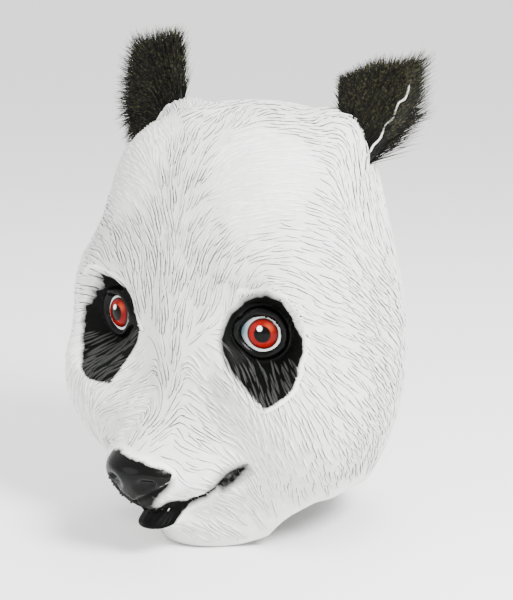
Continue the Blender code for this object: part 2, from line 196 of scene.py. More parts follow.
# Part of the forehead where the hair is carved faintly.
FAINT_PATCH = (
    (12.0, 61.4), (30.0, 62.5), (45.8, 58.8), (51.9, 51.6), (43.2, 42.3), (24.1, 35.8), (12.6, 44.8),
)
NOSTRILS = ((5.9, -23.5), (-5.9, -23.5))

LEFT_RIDGE = (
    (23.5, 23.4), (25.6, 23.6), (29.0, 23.5), (32.8, 23.2), (37.6, 21.0), (41.0, 16.7), (43.2, 10.4),
    (43.3, 6.7), (42.2, 4.0), (41.7, 0.7), (40.1, -2.7), (38.5, -4.7), (35.3, -7.1), (32.6, -8.8),
    (30.9, -8.6),
)
RIGHT_RIDGE = (
    (-38.6, 19.8), (-35.6, 22.4), (-31.6, 23.2), (-27.6, 22.2), (-20.2, 17.0), (-13.0, 8.9),
)
LEFT_LID_FOLD = (
    (21.5, 14.0), (24.0, 17.4), (27.3, 19.0), (32.6, 19.3), (35.8, 17.2), (37.7, 13.5), (38.2, 9.5),
)
RIGHT_LID_FOLD = ((-41.9, 12.1), (-36.6, 17.0), (-30.8, 17.4), (-26.3, 14.6), (-23.8, 10.9))
MOUTH_LINE = (
    (0.0, -34.4), (3.2, -34.9), (7.7, -36.4), (13.0, -35.0), (17.3, -31.5), (20.7, -28.6),
    (23.8, -27.1), (27.0, -25.8),
)
PHILTRUM = ((0.0, -28.0), (0.0, -34.0))
EAR_ROOT_FOLD = ((62.0, 66.5), (64.9, 65.1), (71.7, 63.3), (75.7, 59.9), (80.2, 57.0))
EAR_CREASE = ((88.0, 58.0), (93.2, 55.5), (99.6, 49.2))
# Raised lines and creases: the places, whether both sides have it, then the height and the half
# width in millimetres.
LINES = (
    (LEFT_RIDGE, False, 1.5, 0.9),
    (RIGHT_RIDGE, False, 1.2, 0.9),
    (LEFT_LID_FOLD, False, 1.1, 1.2),
    (RIGHT_LID_FOLD, False, 1.1, 1.2),
    (MOUTH_LINE, True, -2.2, 2.2),
    (PHILTRUM, True, -1.3, 1.2),
    (EAR_ROOT_FOLD, False, 2.4, 2.4),
    (EAR_CREASE, False, -2.4, 1.8),
)
RIDGES = (LEFT_RIDGE, RIGHT_RIDGE)
# Relief of the nose pad, the nostrils and the lower lip, and the width of the black's edge ramp,
# in millimetres.
NOSE_RISE = 1.6
NOSE_GROOVE = 1.0
NOSTRIL_DEPTH = 2.6
NOSTRIL_RADIUS = 2.2
LIP_RISE = 1.6
EDGE_RAMP = 6.0

# How the sculpted hair is combed on the own left side: round and up in degrees, then the
# turn of the hair from straight up towards the own left, from root to tip.
COMB = (
    (2, 66, -14), (13, 66, -10), (8, 41, 33), (14, 45, 65), (24, 47, 85), (37, 53, 84), (31, 62, 83),
    (18, 57, 71), (12, 53, 40), (54, 59, 90), (68, 55, 176), (74, 47, 174), (12, 28, 14), (17, 35, 45),
    (27, 39, 77), (40, 40, 89), (53, 39, 99), (64, 35, 138), (20, 23, 9), (23, 30, 41), (32, 34, 80),
    (44, 33, 104), (57, 29, 121), (27, 26, 41), (35, 28, 95), (43, 25, 124), (54, 15, 111), (54, 7, 120),
    (50, 1, 131), (47, -4, 138), (43, -9, 152), (38, -14, 161), (33, -15, 168), (62, -14, 139),
    (56, -25, 148), (46, -27, 154), (74, 6, 126), (81, 16, 124), (76, 27, 122), (77, -14, 133),
    (29, -12, 162), (24, -10, 127), (18, -7, 112), (11, -1, 140), (10, -11, 117), (13, -17, 109),
    (15, -21, 120), (12, -24, 150), (23, -17, 104), (28, -23, 149), (33, -31, 170), (39, -32, 169),
    (0, -6, 10), (0, 3, 8), (0, 13, 4), (0, 24, 2), (1, 35, 6), (4, 45, 8), (4, 53, 4),
    (14, -45, 144), (22, -44, 148), (29, -44, 154), (36, -44, 170), (5, -46, 138), (0, -14, 20),
    (30, 4, 148), (34, 0, 152), (24, 2, 140), (0, -46, 178), (0, -54, 178),
    (100, 60, 150), (100, 40, 150), (100, 20, 148), (100, 0, 150), (100, -20, 160), (95, -34, 165),
    (130, 60, 160), (130, 35, 165), (130, 10, 168), (130, -15, 172), (120, -35, 175), (160, 70, 170),
    (165, 45, 176), (165, 20, 176), (165, -5, 178), (165, -30, 178), (45, 78, 120), (10, 80, 20),
)


def from_hex(code):
    """Linear red, green and blue of an sRGB hex colour."""
    parts = [int(code[i:i + 2], 16) / 255 for i in (0, 2, 4)]
    return tuple(c / 12.92 if c <= 0.04045 else ((c + 0.055) / 1.055) ** 2.4 for c in parts)


class MaskSizes(bpy.types.PropertyGroup):
    skin_columns: IntProperty(name="Skin columns", description="Faces round the latex skin", default=320)
    skin_rows: IntProperty(name="Skin rows", description="Faces from the neck edge to the crown", default=236)
    hair_pitch: FloatProperty(name="Hair pitch", description="Smallest distance between two sculpted locks",
                              default=0.0016, subtype="DISTANCE", unit="LENGTH")
    hair_length: FloatProperty(name="Hair length", description="Longest sculpted lock", default=0.024,
                               subtype="DISTANCE", unit="LENGTH")
    hair_width: FloatProperty(name="Hair width", description="Width of a sculpted lock", default=0.0031,
                              subtype="DISTANCE", unit="LENGTH")
    hair_relief: FloatProperty(name="Hair relief", description="Height of a sculpted lock over the skin",
                               default=0.0013, subtype="DISTANCE", unit="LENGTH")
    fur_count: IntProperty(name="Fur strands", description="Strands on one side of one ear", default=3300)
    fur_length: FloatProperty(name="Fur length", description="Longest strand of the ear fur", default=0.027,
                              subtype="DISTANCE", unit="LENGTH")
    fur_width: FloatProperty(name="Fur width", description="Width of one strand at its root", default=0.0007,
                             subtype="DISTANCE", unit="LENGTH")


class MaskColours(bpy.types.PropertyGroup):
    latex: FloatVectorProperty(name="Latex", description="White latex paint", subtype="COLOR",
                               default=from_hex("F0F1EE"), min=0, max=1)
    # The groove colour is darker than the real grey-green paint, so that it paints the grooves' shade as
    # well.
    wash: FloatVectorProperty(name="Wash", description="Grey-green wash in the grooves", subtype="COLOR",
                              default=from_hex("262E28"), min=0, max=1)
    black: FloatVectorProperty(name="Black", description="Airbrushed black of the patches", subtype="COLOR",
                               default=from_hex("030403"), min=0, max=1)
    iris: FloatVectorProperty(name="Iris", description="Red of the iris", subtype="COLOR",
                              default=from_hex("860806"), min=0, max=1)
    eye_white: FloatVectorProperty(name="Eye white", description="White of the eye", subtype="COLOR",
                                   default=from_hex("F2F4F2"), min=0, max=1)
    fur: FloatVectorProperty(name="Fur", description="Black fur of the ears", subtype="COLOR",
                             default=from_hex("080806"), min=0, max=1)
    fur_tip: FloatVectorProperty(name="Fur tip", description="Olive brown tips of the fur", subtype="COLOR",
                                 default=from_hex("6E6A48"), min=0, max=1)
    floor: FloatVectorProperty(name="Floor", description="Pale floor", subtype="COLOR",
                               default=from_hex("FAFBFA"), min=0, max=1)


# Form of the hood


def smooth_row(x, xs, values):
    """Cubic curve through table rows, flat-ended at both ends of the table."""
    slopes = np.gradient(values, xs)
    x = np.clip(x, xs[0], xs[-1])
    row = np.clip(np.searchsorted(xs, x, "right") - 1, 0, len(xs) - 2)
    step = xs[row + 1] - xs[row]
    t = (x - xs[row]) / step
    start = (1 + 2 * t) * (1 - t) ** 2 * values[row] + t * (1 - t) ** 2 * step * slopes[row]
    end = t * t * (3 - 2 * t) * values[row + 1] + t * t * (t - 1) * step * slopes[row + 1]
    return start + end


def section(height, column):
    """One column of the head's sections, at heights over the chin edge."""
    table = np.array(SECTIONS)
    scale = {"half_width": HALF_WIDTH, "front": FACE_REACH, "back": NAPE_REACH}.get(column, 1.0)
    values = table[:, SECTION_COLUMNS.index(column)] * scale
    return smooth_row(height, table[:, 0] * MASK_HEIGHT, values)


def head_distance(p):
    """Rough distance to the plain head: squarish sections closed by a flat dome."""
    x, y, z = p[..., 0], p[..., 1], p[..., 2]
    ahead = y < 0
    half = section(z, "half_width")
    reach = np.where(ahead, section(z, "front"), section(z, "back"))
    square = np.where(ahead, section(z, "square_front"), section(z, "square_back"))
    level = (np.abs(x / half) ** square + np.abs(y / reach) ** square) ** (1 / square)
    dome = np.clip((z - MASK_HEIGHT + CROWN_DOME) / CROWN_DOME, 0, None)
    dome_square = 2.3
    level = (level ** dome_square + dome ** dome_square) ** (1 / dome_square)
    scale = np.where(dome > 0, np.minimum(half, CROWN_DOME), np.minimum(half, reach))
    return (level - 1) * scale


def ball_distance(p, row):
    """Rough distance to the ellipsoid of one row of the masses or hollows."""
    reach, across, forward, up, wide, deep, tall = row[1:8]
    depth = {"face": FACE_REACH, "muzzle": MUZZLE_REACH, "nape": NAPE_REACH}[reach]
    middle = np.array([across * HALF_WIDTH, -forward * depth, up * MASK_HEIGHT])
    radii = np.array([wide * HALF_WIDTH, deep * depth, tall * MASK_HEIGHT])
    q = (p - middle) / radii
    k0 = np.sqrt((q * q).sum(-1))
    k1 = np.sqrt(((q / radii) ** 2).sum(-1)) + 1e-9
    return k0 * (k0 - 1) / k1


def blend_min(a, b, width):
    """The smaller of two distances, with a fillet of a given width where they meet."""
    h = np.clip(0.5 + 0.5 * (b - a) / width, 0, 1)
    return b + (a - b) * h - width * h * (1 - h)


def clay(p):
    """Rough distance to the head before the eyelids are set in."""
    distance = head_distance(p)
    side = np.concatenate([np.abs(p[..., :1]), p[..., 1:]], -1)
    for row in MASSES:
        distance = blend_min(distance, ball_distance(side, row), row[-1])
    for row in HOLLOWS:
        distance = -blend_min(-distance, ball_distance(side, row), row[-1])
    return distance


def march(shape, start, way, level=0.0, far=0.25, steps=70):
    """Walks back along rays from outside until the shape's distance falls to level."""
    travel = np.broadcast_to(far, way.shape[:-1]).astype(float)
    for _ in range(steps):
        gap = shape(start + way * travel[..., None]) - level
        travel = travel - np.clip(gap * 0.7, -0.006, 0.012)
    return travel


def heading(turn, rise):
    """Unit vector at angles round from the face and up from level, in radians."""
    return np.stack([np.sin(turn) * np.cos(rise), -np.cos(turn) * np.cos(rise), np.sin(rise)], -1)


def eye_seat():
    """Middle of the left eye's seat and the way it faces."""
    foot = np.array([EYE_SPACING / 2, 0.0, EYE_HEIGHT])
    front = foot + np.array([0.0, -1.0, 0.0]) * march(clay, foot, np.array([0.0, -1.0, 0.0]))
    facing = np.array([math.sin(EYE_TURN), -math.cos(EYE_TURN), 0.0])
    return front - facing * SOCKET_SINK, facing


EYE_MIDDLE, EYE_FACING = eye_seat()
EYE_SIDEWAYS = np.array([math.cos(EYE_TURN), math.sin(EYE_TURN), 0.0])


def skin(p):
    """Rough distance to the latex skin: the head with its eye hollows and both lids."""
    distance = clay(p)
    side = np.concatenate([np.abs(p[..., :1]), p[..., 1:]], -1) - EYE_MIDDLE
    along = side @ EYE_FACING
    across = side @ EYE_SIDEWAYS
    up = side[..., 2]
    off_axis = np.sqrt(across ** 2 + up ** 2)
    funnel = off_axis - (EYE_WIDTH / 2 + SOCKET_MARGIN) - along * SOCKET_SLANT
    funnel = funnel / math.hypot(1, SOCKET_SLANT)
    distance = -blend_min(-distance, np.maximum(funnel, -along), 0.002)
    half = EYE_WIDTH / 2
    tall = EYE_TALL / 2 * (1 - EYE_PINCH * np.clip(-across / half, 0, 1) ** 2)
    outside = (np.sqrt((across / half) ** 2 + (up / tall) ** 2) - 1) * half * 0.92
    upper = np.clip(up / half, -1, 1)
    crest = LID_CREST + 0.0012 * upper
    lid = np.hypot(outside - LID_CREST, (along - crest * 0.4) * 0.8)
    lid = lid - (LID_THICKNESS + LID_UPPER_EXTRA * upper)
    return blend_min(distance, lid, 0.0022)


# Places on the hood


def segment_distance(turn, rise, reach, points):
    """Distance in millimetres to a line of places on the hood."""
    nearest = np.full(turn.shape, 1e9)
    scale = np.radians(1) * reach * 1000
    shrink = np.cos(np.radians(rise))
    for (a0, e0), (a1, e1) in zip(points[:-1], points[1:]):
        da, de = (a1 - a0) * shrink, e1 - e0
        px, py = (turn - a0) * shrink, rise - e0
        t = np.clip((px * da + py * de) / (da * da + de * de + 1e-9), 0, 1)
        nearest = np.minimum(nearest, np.hypot(px - t * da, py - t * de))
    return nearest * scale


def patch_depth(turn, rise, reach, points):
    """Distance in millimetres inside a closed patch, negative outside it."""
    closed = points + points[:1]
    distance = segment_distance(turn, rise, reach, closed)
    inside = np.zeros(turn.shape, bool)
    for (a0, e0), (a1, e1) in zip(closed[:-1], closed[1:]):
        crossing = (e0 > rise) != (e1 > rise)
        at = a0 + (rise - e0) * (a1 - a0) / (e1 - e0 + 1e-12)
        inside ^= crossing & (turn < at)
    return np.where(inside, distance, -distance)


def soft_step(low, high, x):
    """Goes smoothly from 0 at low to 1 at high."""
    t = np.clip((x - low) / (high - low), 0, 1)
    return t * t * (3 - 2 * t)


def places(p):
    """Degrees round and up, and the distance from the cast's middle, of points of the hood."""
    v = p - CAST_MIDDLE
    reach = np.linalg.norm(v, axis=-1)
    turn = np.degrees(np.arctan2(v[..., 0], -v[..., 1]))
    rise = np.degrees(np.arcsin(np.clip(v[..., 2] / reach, -1, 1)))
    return turn, rise, reach


def relief(turn, rise, reach):
    """Height in metres of the raised lines and creases at places on the hood."""
    height = np.zeros(turn.shape)
    for points, both, tall, half in LINES:
        distance = segment_distance(np.abs(turn) if both else turn, rise, reach, points)
        height += tall * np.exp(-(distance / half) ** 2)
        height -= 0.45 * tall * np.exp(-((distance - 2.3 * half) / half) ** 2)
    nose = patch_depth(turn, rise, reach, NOSE_PATCH)
    height += NOSE_RISE * soft_step(-0.6, 2.4, nose)
    height -= NOSE_GROOVE * np.exp(-((nose + 0.8) / 1.1) ** 2)
    for nostril in NOSTRILS:
        distance = segment_distance(turn, rise, reach, (nostril, nostril))
        height -= NOSTRIL_DEPTH * np.exp(-(distance / NOSTRIL_RADIUS) ** 2)
    lip = patch_depth(turn, rise, reach, LIP_PATCH)
    height += LIP_RISE * soft_step(-1.0, 5.0, lip)
    return height * 0.001


def eye_patch_depth(turn, rise, reach):
    """Distance in millimetres inside either black eye patch."""
    return np.maximum(patch_depth(turn, rise, reach, LEFT_EYE_PATCH),
                      patch_depth(turn, rise, reach, RIGHT_EYE_PATCH))


def eye_distance(p):
    """Distance in millimetres outside the eye's opening, on either side."""
    side = np.concatenate([np.abs(p[..., :1]), p[..., 1:]], -1) - EYE_MIDDLE
    flat = np.hypot(side @ EYE_SIDEWAYS, side[..., 2] * 1.1)
    return (np.hypot(flat, side @ EYE_FACING * 1.2) - EYE_WIDTH / 2) * 1000


def paint(p):
    """Airbrushed black, with painted shade along the mouth crease and in its corners, its blur and the gloss,
    as shares, for points of the hood.

    Black is a ramp whose middle is the edge, so that the edge can be drawn finer than the mesh
    is.  Blur is the part of the ramp, to each side of that, over which it fades.
    """
    turn, rise, reach = places(p)
    side = np.abs(turn)
    outer = soft_step(26, 36, turn - 0.25 * (rise - 8))
    eye_ring = eye_distance(p)
    nose = patch_depth(turn, rise, reach, NOSE_PATCH)
    mouth = segment_distance(side, rise, reach, MOUTH_LINE) + soft_step(10.0, 27.0, side)
    layers = [
        (eye_patch_depth(turn, rise, reach), np.where(turn < 0, 0.12, 0.34 - 0.26 * outer)),
        (6.0 - eye_ring, 0.15),
        (nose, 0.08),
        (patch_depth(turn, rise, reach, LIP_PATCH), 0.15),
        (patch_depth(turn, rise, reach, MUZZLE_SHADE) - 0.5, 0.4),
        # Dark along the mouth line, fading towards its corners: painted shade of the crease under the upper
        # lip.
        (2.5 - mouth, 0.28),
        (1.4 - segment_distance(side, rise, reach, PHILTRUM), 0.3),
        # Painted shade in the fold at the mouth's corners.
        (patch_depth(side, rise, reach, MOUTH_CORNER) * 0.7 + 0.3, 0.5),
    ]
    black = np.zeros(turn.shape)
    blur = np.full(turn.shape, 0.1)
    for depth, soft in layers:
        ramp = np.clip(0.5 + depth / EDGE_RAMP, 0, 1)
        blur = np.where(ramp > black, soft, blur)
        black = np.maximum(black, ramp)
    gloss = np.maximum(soft_step(7.5, 5.5, eye_ring) * 0.55, soft_step(-0.8, 0.8, nose) * 0.75)
    return black, blur, gloss


def to_part(p):
    """From the tables' frame to the part's, whose origin is inside the crown."""
    return p - np.array([0.0, 0.0, MASK_HEIGHT - LATEX_WALL])


def rim_height(turn):
    """Height of the neck edge over the chin edge, at degrees round from the face."""
    table = np.array(RIM)
    return smooth_row(np.abs(turn), table[:, 0], table[:, 1]) * NECK_RIM_RISE


def rim_rise(turn):
    """Upward angle, below level, of the ray that meets the skin at the neck edge."""
    rise = np.full(turn.shape, -0.9)
    for _ in range(10):
        way = heading(turn, rise)
        point = CAST_MIDDLE + way * march(clay, CAST_MIDDLE, way)[..., None]
        flat = np.hypot(point[..., 0] - CAST_MIDDLE[0], point[..., 1] - CAST_MIDDLE[1])
        round_it = np.degrees(np.arctan2(np.abs(point[..., 0]), -point[..., 1]))
        rise = rise + 0.8 * (rim_height(round_it) - point[..., 2]) / (flat + MASK_HEIGHT / 4)
    return rise


def skin_grid(columns, rows, level, lines):
    """Rows of points of the skin from the neck edge to the crown; the first column is the nape."""
    half_turn = 2 * np.linspace(0, 1, columns + 1) - 1
    focus = 0.34 * np.abs(half_turn) + 0.66 * np.abs(half_turn) ** 4
    turn = np.pi * focus * np.sign(half_turn)
    coarse = np.linspace(-np.pi, np.pi, 121)
    low = np.interp(turn, coarse, rim_rise(coarse))
    share = np.linspace(0, 1, rows + 1)
    share = share * (0.64 + 0.36 * share)
    rise = low[None, :] + (np.pi / 2 - low[None, :]) * share[:, None]
    turn = np.broadcast_to(turn, rise.shape)
    way = heading(turn, rise)
    # The plain form is found on every fourth ray, to start the finer search near the skin.
    every = 4
    rough = march(clay, CAST_MIDDLE, way[::every, ::every], level, steps=40)
    row_at = np.clip(np.arange(rows + 1) / every, 0, rough.shape[0] - 1)
    column_at = np.clip(np.arange(columns + 1) / every, 0, rough.shape[1] - 1)
    guess = np.array([np.interp(column_at, np.arange(rough.shape[1]), line) for line in rough])
    guess = np.array([np.interp(row_at, np.arange(rough.shape[0]), line) for line in guess.T]).T
    travel = march(skin, CAST_MIDDLE, way, level, guess + 0.012, 34)
    if lines:
        travel = travel + relief(np.degrees(turn), np.degrees(rise), travel)
    points = CAST_MIDDLE + way * travel[..., None]
    points[:, -1] = points[:, 0]
    points[-1] = points[-1].mean(0)
    return points


# Making meshes


def mesh_object(name, points, faces, shares=None):
    """A smooth mesh object with one number per point for each named share."""
    data = bpy.data.meshes.new(name)
    data.from_pydata([tuple(p) for p in points], [], faces)
    for key, values in (shares or {}).items():
        attribute = data.attributes.new(key, "FLOAT", "POINT")
        attribute.data.foreach_set("value", np.ascontiguousarray(values, dtype=np.float32))
    data.update()
    data.shade_smooth()
    obj = bpy.data.objects.new(name, data)
    bpy.context.scene.collection.objects.link(obj)
    return obj


def point_outwards(obj):
    """Turns the faces of a closed mesh outwards."""
    bm = bmesh.new()
    bm.from_mesh(obj.data)
    bmesh.ops.recalc_face_normals(bm, faces=bm.faces)
    bm.to_mesh(obj.data)
    bm.free()


def finish_piece(obj, material, replaced=()):
    obj.data.materials.clear()
    obj.data.materials.append(material)
    if replaced:
        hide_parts(*replaced)
    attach(obj, "root")


# Sockets of a Mix node that mixes colours.
SHARE, ONE, TWO, MIXED = 0, 6, 7, 2


def add_node(tree, kind, inputs=None, **settings):
    """Adds a node, sets its properties, and sets or links its inputs by name or number."""
    node = tree.nodes.new(kind)
    for key, value in settings.items():
        setattr(node, key, value)
    for key, value in (inputs or {}).items():
        socket = node.inputs[key]
        if isinstance(value, bpy.types.NodeSocket):
            tree.links.new(value, socket)
        elif socket.type == "RGBA":
            socket.default_value = (*value, 1.0)
        else:
            socket.default_value = value
    return node


def new_material(name):
    """An empty node material and its tree."""
    material = bpy.data.materials.new(name)
    material.use_nodes = True
    material.node_tree.nodes.clear()
    return material, material.node_tree


def shade(tree, inputs):
    """Ends a material in one Principled shader with the given inputs."""
    shader = add_node(tree, "ShaderNodeBsdfPrincipled", inputs)
    add_node(tree, "ShaderNodeOutputMaterial", {"Surface": shader.outputs[0]})


def grain(millimetres):
    """Noise scale for features of a real size."""
    return 1000 / millimetres


def latex_material():
    """Cast natural rubber with a brushed white coat: softly satin, a grey-green paint left in the
    grooves and darkened to paint the grooves' shade as well, airbrushed black patches with painted
    shade along the mouth, hair crests paler in the black as a painted highlight, and gloss black on
    the nose and lids."""
    colours = bpy.context.scene.mask_colours
    material, tree = new_material("painted_cast_latex")
    place = add_node(tree, "ShaderNodeTexCoord").outputs["Object"]
    wash, black, blur, pale, gloss = (
        add_node(tree, "ShaderNodeAttribute", attribute_name=name).outputs["Fac"]
        for name in ("wash", "black", "blur", "pale", "gloss")
    )
    # Uneven brushing of the wash, in blots about 25 mm and streaks about 4 mm across.
    blots = add_node(tree, "ShaderNodeTexNoise", {"Vector": place, "Scale": grain(25), "Detail": 3.0})
    streaks = add_node(tree, "ShaderNodeTexNoise", {
        "Vector": place, "Scale": grain(3.846), "Detail": 2.0,
    })
    uneven = add_node(tree, "ShaderNodeMapRange", {
        "Value": blots.outputs[0], "From Min": 0.3, "From Max": 0.7, "To Min": 0.65, "To Max": 1.0,
    })
    # The groove share: the real grey-green paint and the painted shade of the grooves, in one colour.
    grooves = add_node(tree, "ShaderNodeMath", {0: wash, 1: 1.35}, operation="POWER")
    share = add_node(tree, "ShaderNodeMath", {0: grooves.outputs[0], 1: uneven.outputs[0]},
                     operation="MULTIPLY", use_clamp=True)
    washed = add_node(tree, "ShaderNodeMix", {
        SHARE: share.outputs[0], ONE: colours.latex, TWO: colours.wash,
    }, data_type="RGBA")
    speck = add_node(tree, "ShaderNodeMapRange", {
        "Value": streaks.outputs[0], "From Min": 0.3, "From Max": 0.8, "To Min": 0.0, "To Max": 0.12,
    })
    base = add_node(tree, "ShaderNodeMix", {
        SHARE: speck.outputs[0], ONE: washed.outputs[MIXED], TWO: colours.wash,
    }, data_type="RGBA")
    # The airbrushed edge is the middle of the black ramp, a little ragged, and as soft as its blur.
    ragged = add_node(tree, "ShaderNodeMapRange", {
        "Value": streaks.outputs[0], "From Min": 0.25, "From Max": 0.75, "To Min": -0.05, "To Max": 0.05,
    })
    edge = add_node(tree, "ShaderNodeMath", {0: black, 1: ragged.outputs[0]}, operation="ADD")
    start = add_node(tree, "ShaderNodeMath", {0: 0.5, 1: blur}, operation="SUBTRACT")
    end = add_node(tree, "ShaderNodeMath", {0: 0.5, 1: blur}, operation="ADD")
    # Lock crests keep a little of the base colour inside the black: a painted highlight on the ridges.
    full = add_node(tree, "ShaderNodeMath", {0: 1.0, 1: pale}, operation="SUBTRACT")
    amount = add_node(tree, "ShaderNodeMapRange", {
        "Value": edge.outputs[0], "From Min": start.outputs[0], "From Max": end.outputs[0],
        "To Min": 0.0, "To Max": full.outputs[0],
    })
    painted = add_node(tree, "ShaderNodeMix", {
        SHARE: amount.outputs[0], ONE: base.outputs[MIXED], TWO: colours.black,
    }, data_type="RGBA")
    rough = add_node(tree, "ShaderNodeMapRange", {
        "Value": gloss, "From Min": 0.0, "From Max": 1.0, "To Min": 0.5, "To Max": 0.16,
    })
    # Pores and brush marks of the coat, about 0.5 mm, drawn at 1.1 mm so that they show.
    fine = add_node(tree, "ShaderNodeTexNoise", {"Vector": place, "Scale": grain(1.111), "Detail": 3.0})
    bump = add_node(tree, "ShaderNodeBump", {
        "Strength": 0.35, "Distance": 0.0006, "Height": fine.outputs[0],
    })
    coat = add_node(tree, "ShaderNodeMath", {0: gloss, 1: 0.16}, operation="MULTIPLY")
    shade(tree, {
        "Base Color": painted.outputs[MIXED], "Roughness": rough.outputs[0], "Normal": bump.outputs[0],
        "IOR": 1.52, "Specular IOR Level": 0.05, "Coat Weight": coat.outputs[0], "Coat Roughness": 0.1,
    })
    return material


class MASK_OT_skin(bpy.types.Operator):
    """Makes the cast latex skin with its face, lids, nose and mouth"""
    bl_idname = "mask.skin"
    bl_label = "Latex skin"

    def execute(self, context):
        sizes = context.scene.mask_sizes
        columns, rows, inner_rows = sizes.skin_columns, sizes.skin_rows, 44
        outer = skin_grid(columns, rows, 0.0, True)
        inner = skin_grid(columns, inner_rows, -LATEX_WALL, False)
        # The inside wall stands clear of the eye sockets, which are deeper than its rows are fine.
        way = CAST_MIDDLE - inner
        way /= np.linalg.norm(way, axis=-1, keepdims=True)
        push = 0.005 * soft_step(24.0, 14.0, eye_distance(inner)) * (inner[..., 1] < 0)
        inner = inner + way * push[..., None]
        points = np.concatenate([outer[:-1, :-1].reshape(-1, 3), outer[-1:, 0],
                                 inner[:-1, :-1].reshape(-1, 3), inner[-1:, 0]])
        faces = []
        second = rows * columns + 1
        for base, count, outside in ((0, rows, True), (second, inner_rows, False)):
            pole = base + count * columns
            for r in range(count):
                for c in range(columns):
                    a, b = base + r * columns + c, base + r * columns + (c + 1) % columns
                    if r == count - 1:
                        face = (a, b, pole)
                    else:
                        face = (a, b, b + columns, a + columns)
                    faces.append(face if outside else face[::-1])
        for c in range(columns):
            d = (c + 1) % columns
            faces.append((d, c, second + c, second + d))
        black, blur, gloss = paint(points)
        inside = np.arange(len(points)) >= second
        black[inside] = 0
        gloss[inside] = 0
        # Between the locks the skin takes the grey-green groove colour, which is also the grooves' painted
        # shade; the inside takes a faint even share.
        wash = np.where(inside, 0.1, 0.4 * furry(points))
        shares = {"wash": wash, "black": black, "blur": blur, "gloss": gloss}
        obj = mesh_object("latex_skin", to_part(points), faces, shares)
        finish_piece(obj, latex_material(), ["mask_shell"])
        return {"FINISHED"}


# Sculpted hair

# Points along a lock, its triangles and the most in one piece, then how far a lock's edges are
# sunk in the skin.
LOCK_STATIONS = 6
LOCK_TRIANGLES = 34
PIECE_TRIANGLES = 190000
LOCK_SINK = 0.0005
# Share of the groove colour on a lock's left edge, crest and right edge: the dark left edge is the
#  painted shade of the groove beside the lock, over the real grey-green paint.  Then how far its
#  crest is paler than the black: a painted highlight on the crests in the black patches.
LOCK_WASH_AND_SHADE = (1.9, 0.0, 0.7)
CREST_HIGHLIGHT = 0.045


def furry(p):
    """How strongly the skin is carved with hair: 1 on the cheeks, 0 on the nose, lids and lips."""
    turn, rise, reach = places(p)
    side = np.abs(turn)
    share = soft_step(3.0, 8.0, eye_distance(p))
    patch = eye_patch_depth(turn, rise, reach)
    share = share * (1 - soft_step(-0.5, 2.5, patch) * soft_step(2.0, 9.0, rise + 0.2 * (side - 30)))
    share = share * soft_step(0.8, 3.0, -patch_depth(turn, rise, reach, NOSE_PATCH))
    share = share * soft_step(0.5, 4.0, -patch_depth(turn, rise, reach, LIP_PATCH))
    share = share * soft_step(2.0, 5.0, segment_distance(side, rise, reach, MOUTH_LINE))
    share = share * soft_step(0.8, 2.4, segment_distance(side, rise, reach, PHILTRUM))
    for ridge in RIDGES:
        share = share * soft_step(0.6, 1.8, segment_distance(turn, rise, reach, ridge))
    return share


def faintness(p):
    """Share by which the hair fades on the upper forehead."""
    turn, rise, reach = places(p)
    return soft_step(-6.0, 6.0, patch_depth(np.abs(turn), rise, reach, FAINT_PATCH))


def comb_turn(turn, rise):
    """Direction of the hair at places on the hood, as shares towards own left and up."""
    side = np.abs(turn)
    table = np.array(COMB, float)
    here = heading(np.radians(side), np.radians(rise))
    there = heading(np.radians(table[:, 0]), np.radians(table[:, 1]))
    east, north = np.zeros(side.shape), np.zeros(side.shape)
    for place, lay in zip(there, np.radians(table[:, 2])):
        weight = 1 / ((((here - place) ** 2).sum(-1)) + 0.0025) ** 2
        east += weight * math.sin(lay)
        north += weight * math.cos(lay)
    size = np.hypot(east, north) + 1e-9
    return east / size * np.where(turn < 0, -1, 1), north / size


class Hood:
    """A table of the skin's reach, by degrees, for putting things on it quickly."""

    def __init__(self):
        self.step = 0.75
        self.turns = np.arange(-180, 180 + self.step, self.step)
        self.rises = np.arange(-72, 90 + self.step, self.step)
        turn, rise = np.meshgrid(np.radians(self.turns), np.radians(self.rises))
        way = heading(turn, rise)
        rough = march(clay, CAST_MIDDLE, way, 0.0, 0.25, 30)
        travel = march(skin, CAST_MIDDLE, way, 0.0, rough + 0.008, 20)
        self.reach = travel + relief(np.degrees(turn), np.degrees(rise), travel)

    def at(self, turn, rise, lift=0.0):
        """Points over places on the hood."""
        rise = np.clip(rise, -71.9, 89.9)
        turn = (turn + 180) % 360 - 180
        c = (turn + 180) / self.step
        r = (rise + 72) / self.step
        ci = np.clip(c.astype(int), 0, len(self.turns) - 2)
        ri = np.clip(r.astype(int), 0, len(self.rises) - 2)
        u, v = c - ci, r - ri
        reach = ((1 - u) * (1 - v) * self.reach[ri, ci] + u * (1 - v) * self.reach[ri, ci + 1]
                 + (1 - u) * v * self.reach[ri + 1, ci] + u * v * self.reach[ri + 1, ci + 1])
        return CAST_MIDDLE + heading(np.radians(turn), np.radians(rise)) * (reach + lift)[..., None]

    def normal(self, turn, rise):
        step = 0.6
        flat = np.maximum(np.cos(np.radians(rise)), 0.15)
        one = self.at(turn + step / flat, rise) - self.at(turn - step / flat, rise)
        two = self.at(turn, rise + step) - self.at(turn, rise - step)
        out = np.cross(one, two)
        return out / (np.linalg.norm(out, axis=-1, keepdims=True) + 1e-12)


def too_close(gap, way, across, along):
    """Whether a gap between two roots is short both across and along the lock's way."""
    forward = abs(float(gap @ way))
    return forward < along and float(gap @ gap) - forward * forward < across * across


def thin_out(point, way, pitch, length):
    """Numbers of the roots that keep clear of those before them, found by cells of space."""
    size = length / 2
    shifts = list(itertools.product((-1, 0, 1), repeat=3))
    cells, chosen = {}, []
    for i, place in enumerate(point):
        x, y, z = (place // size).astype(int)
        near = (j for dx, dy, dz in shifts for j in cells.get((x + dx, y + dy, z + dz), ()))
        if not any(too_close(point[j] - place, way[i], pitch, length / 3.0) for j in near):
            cells.setdefault((x, y, z), []).append(i)
            chosen.append(i)
    return np.array(chosen)


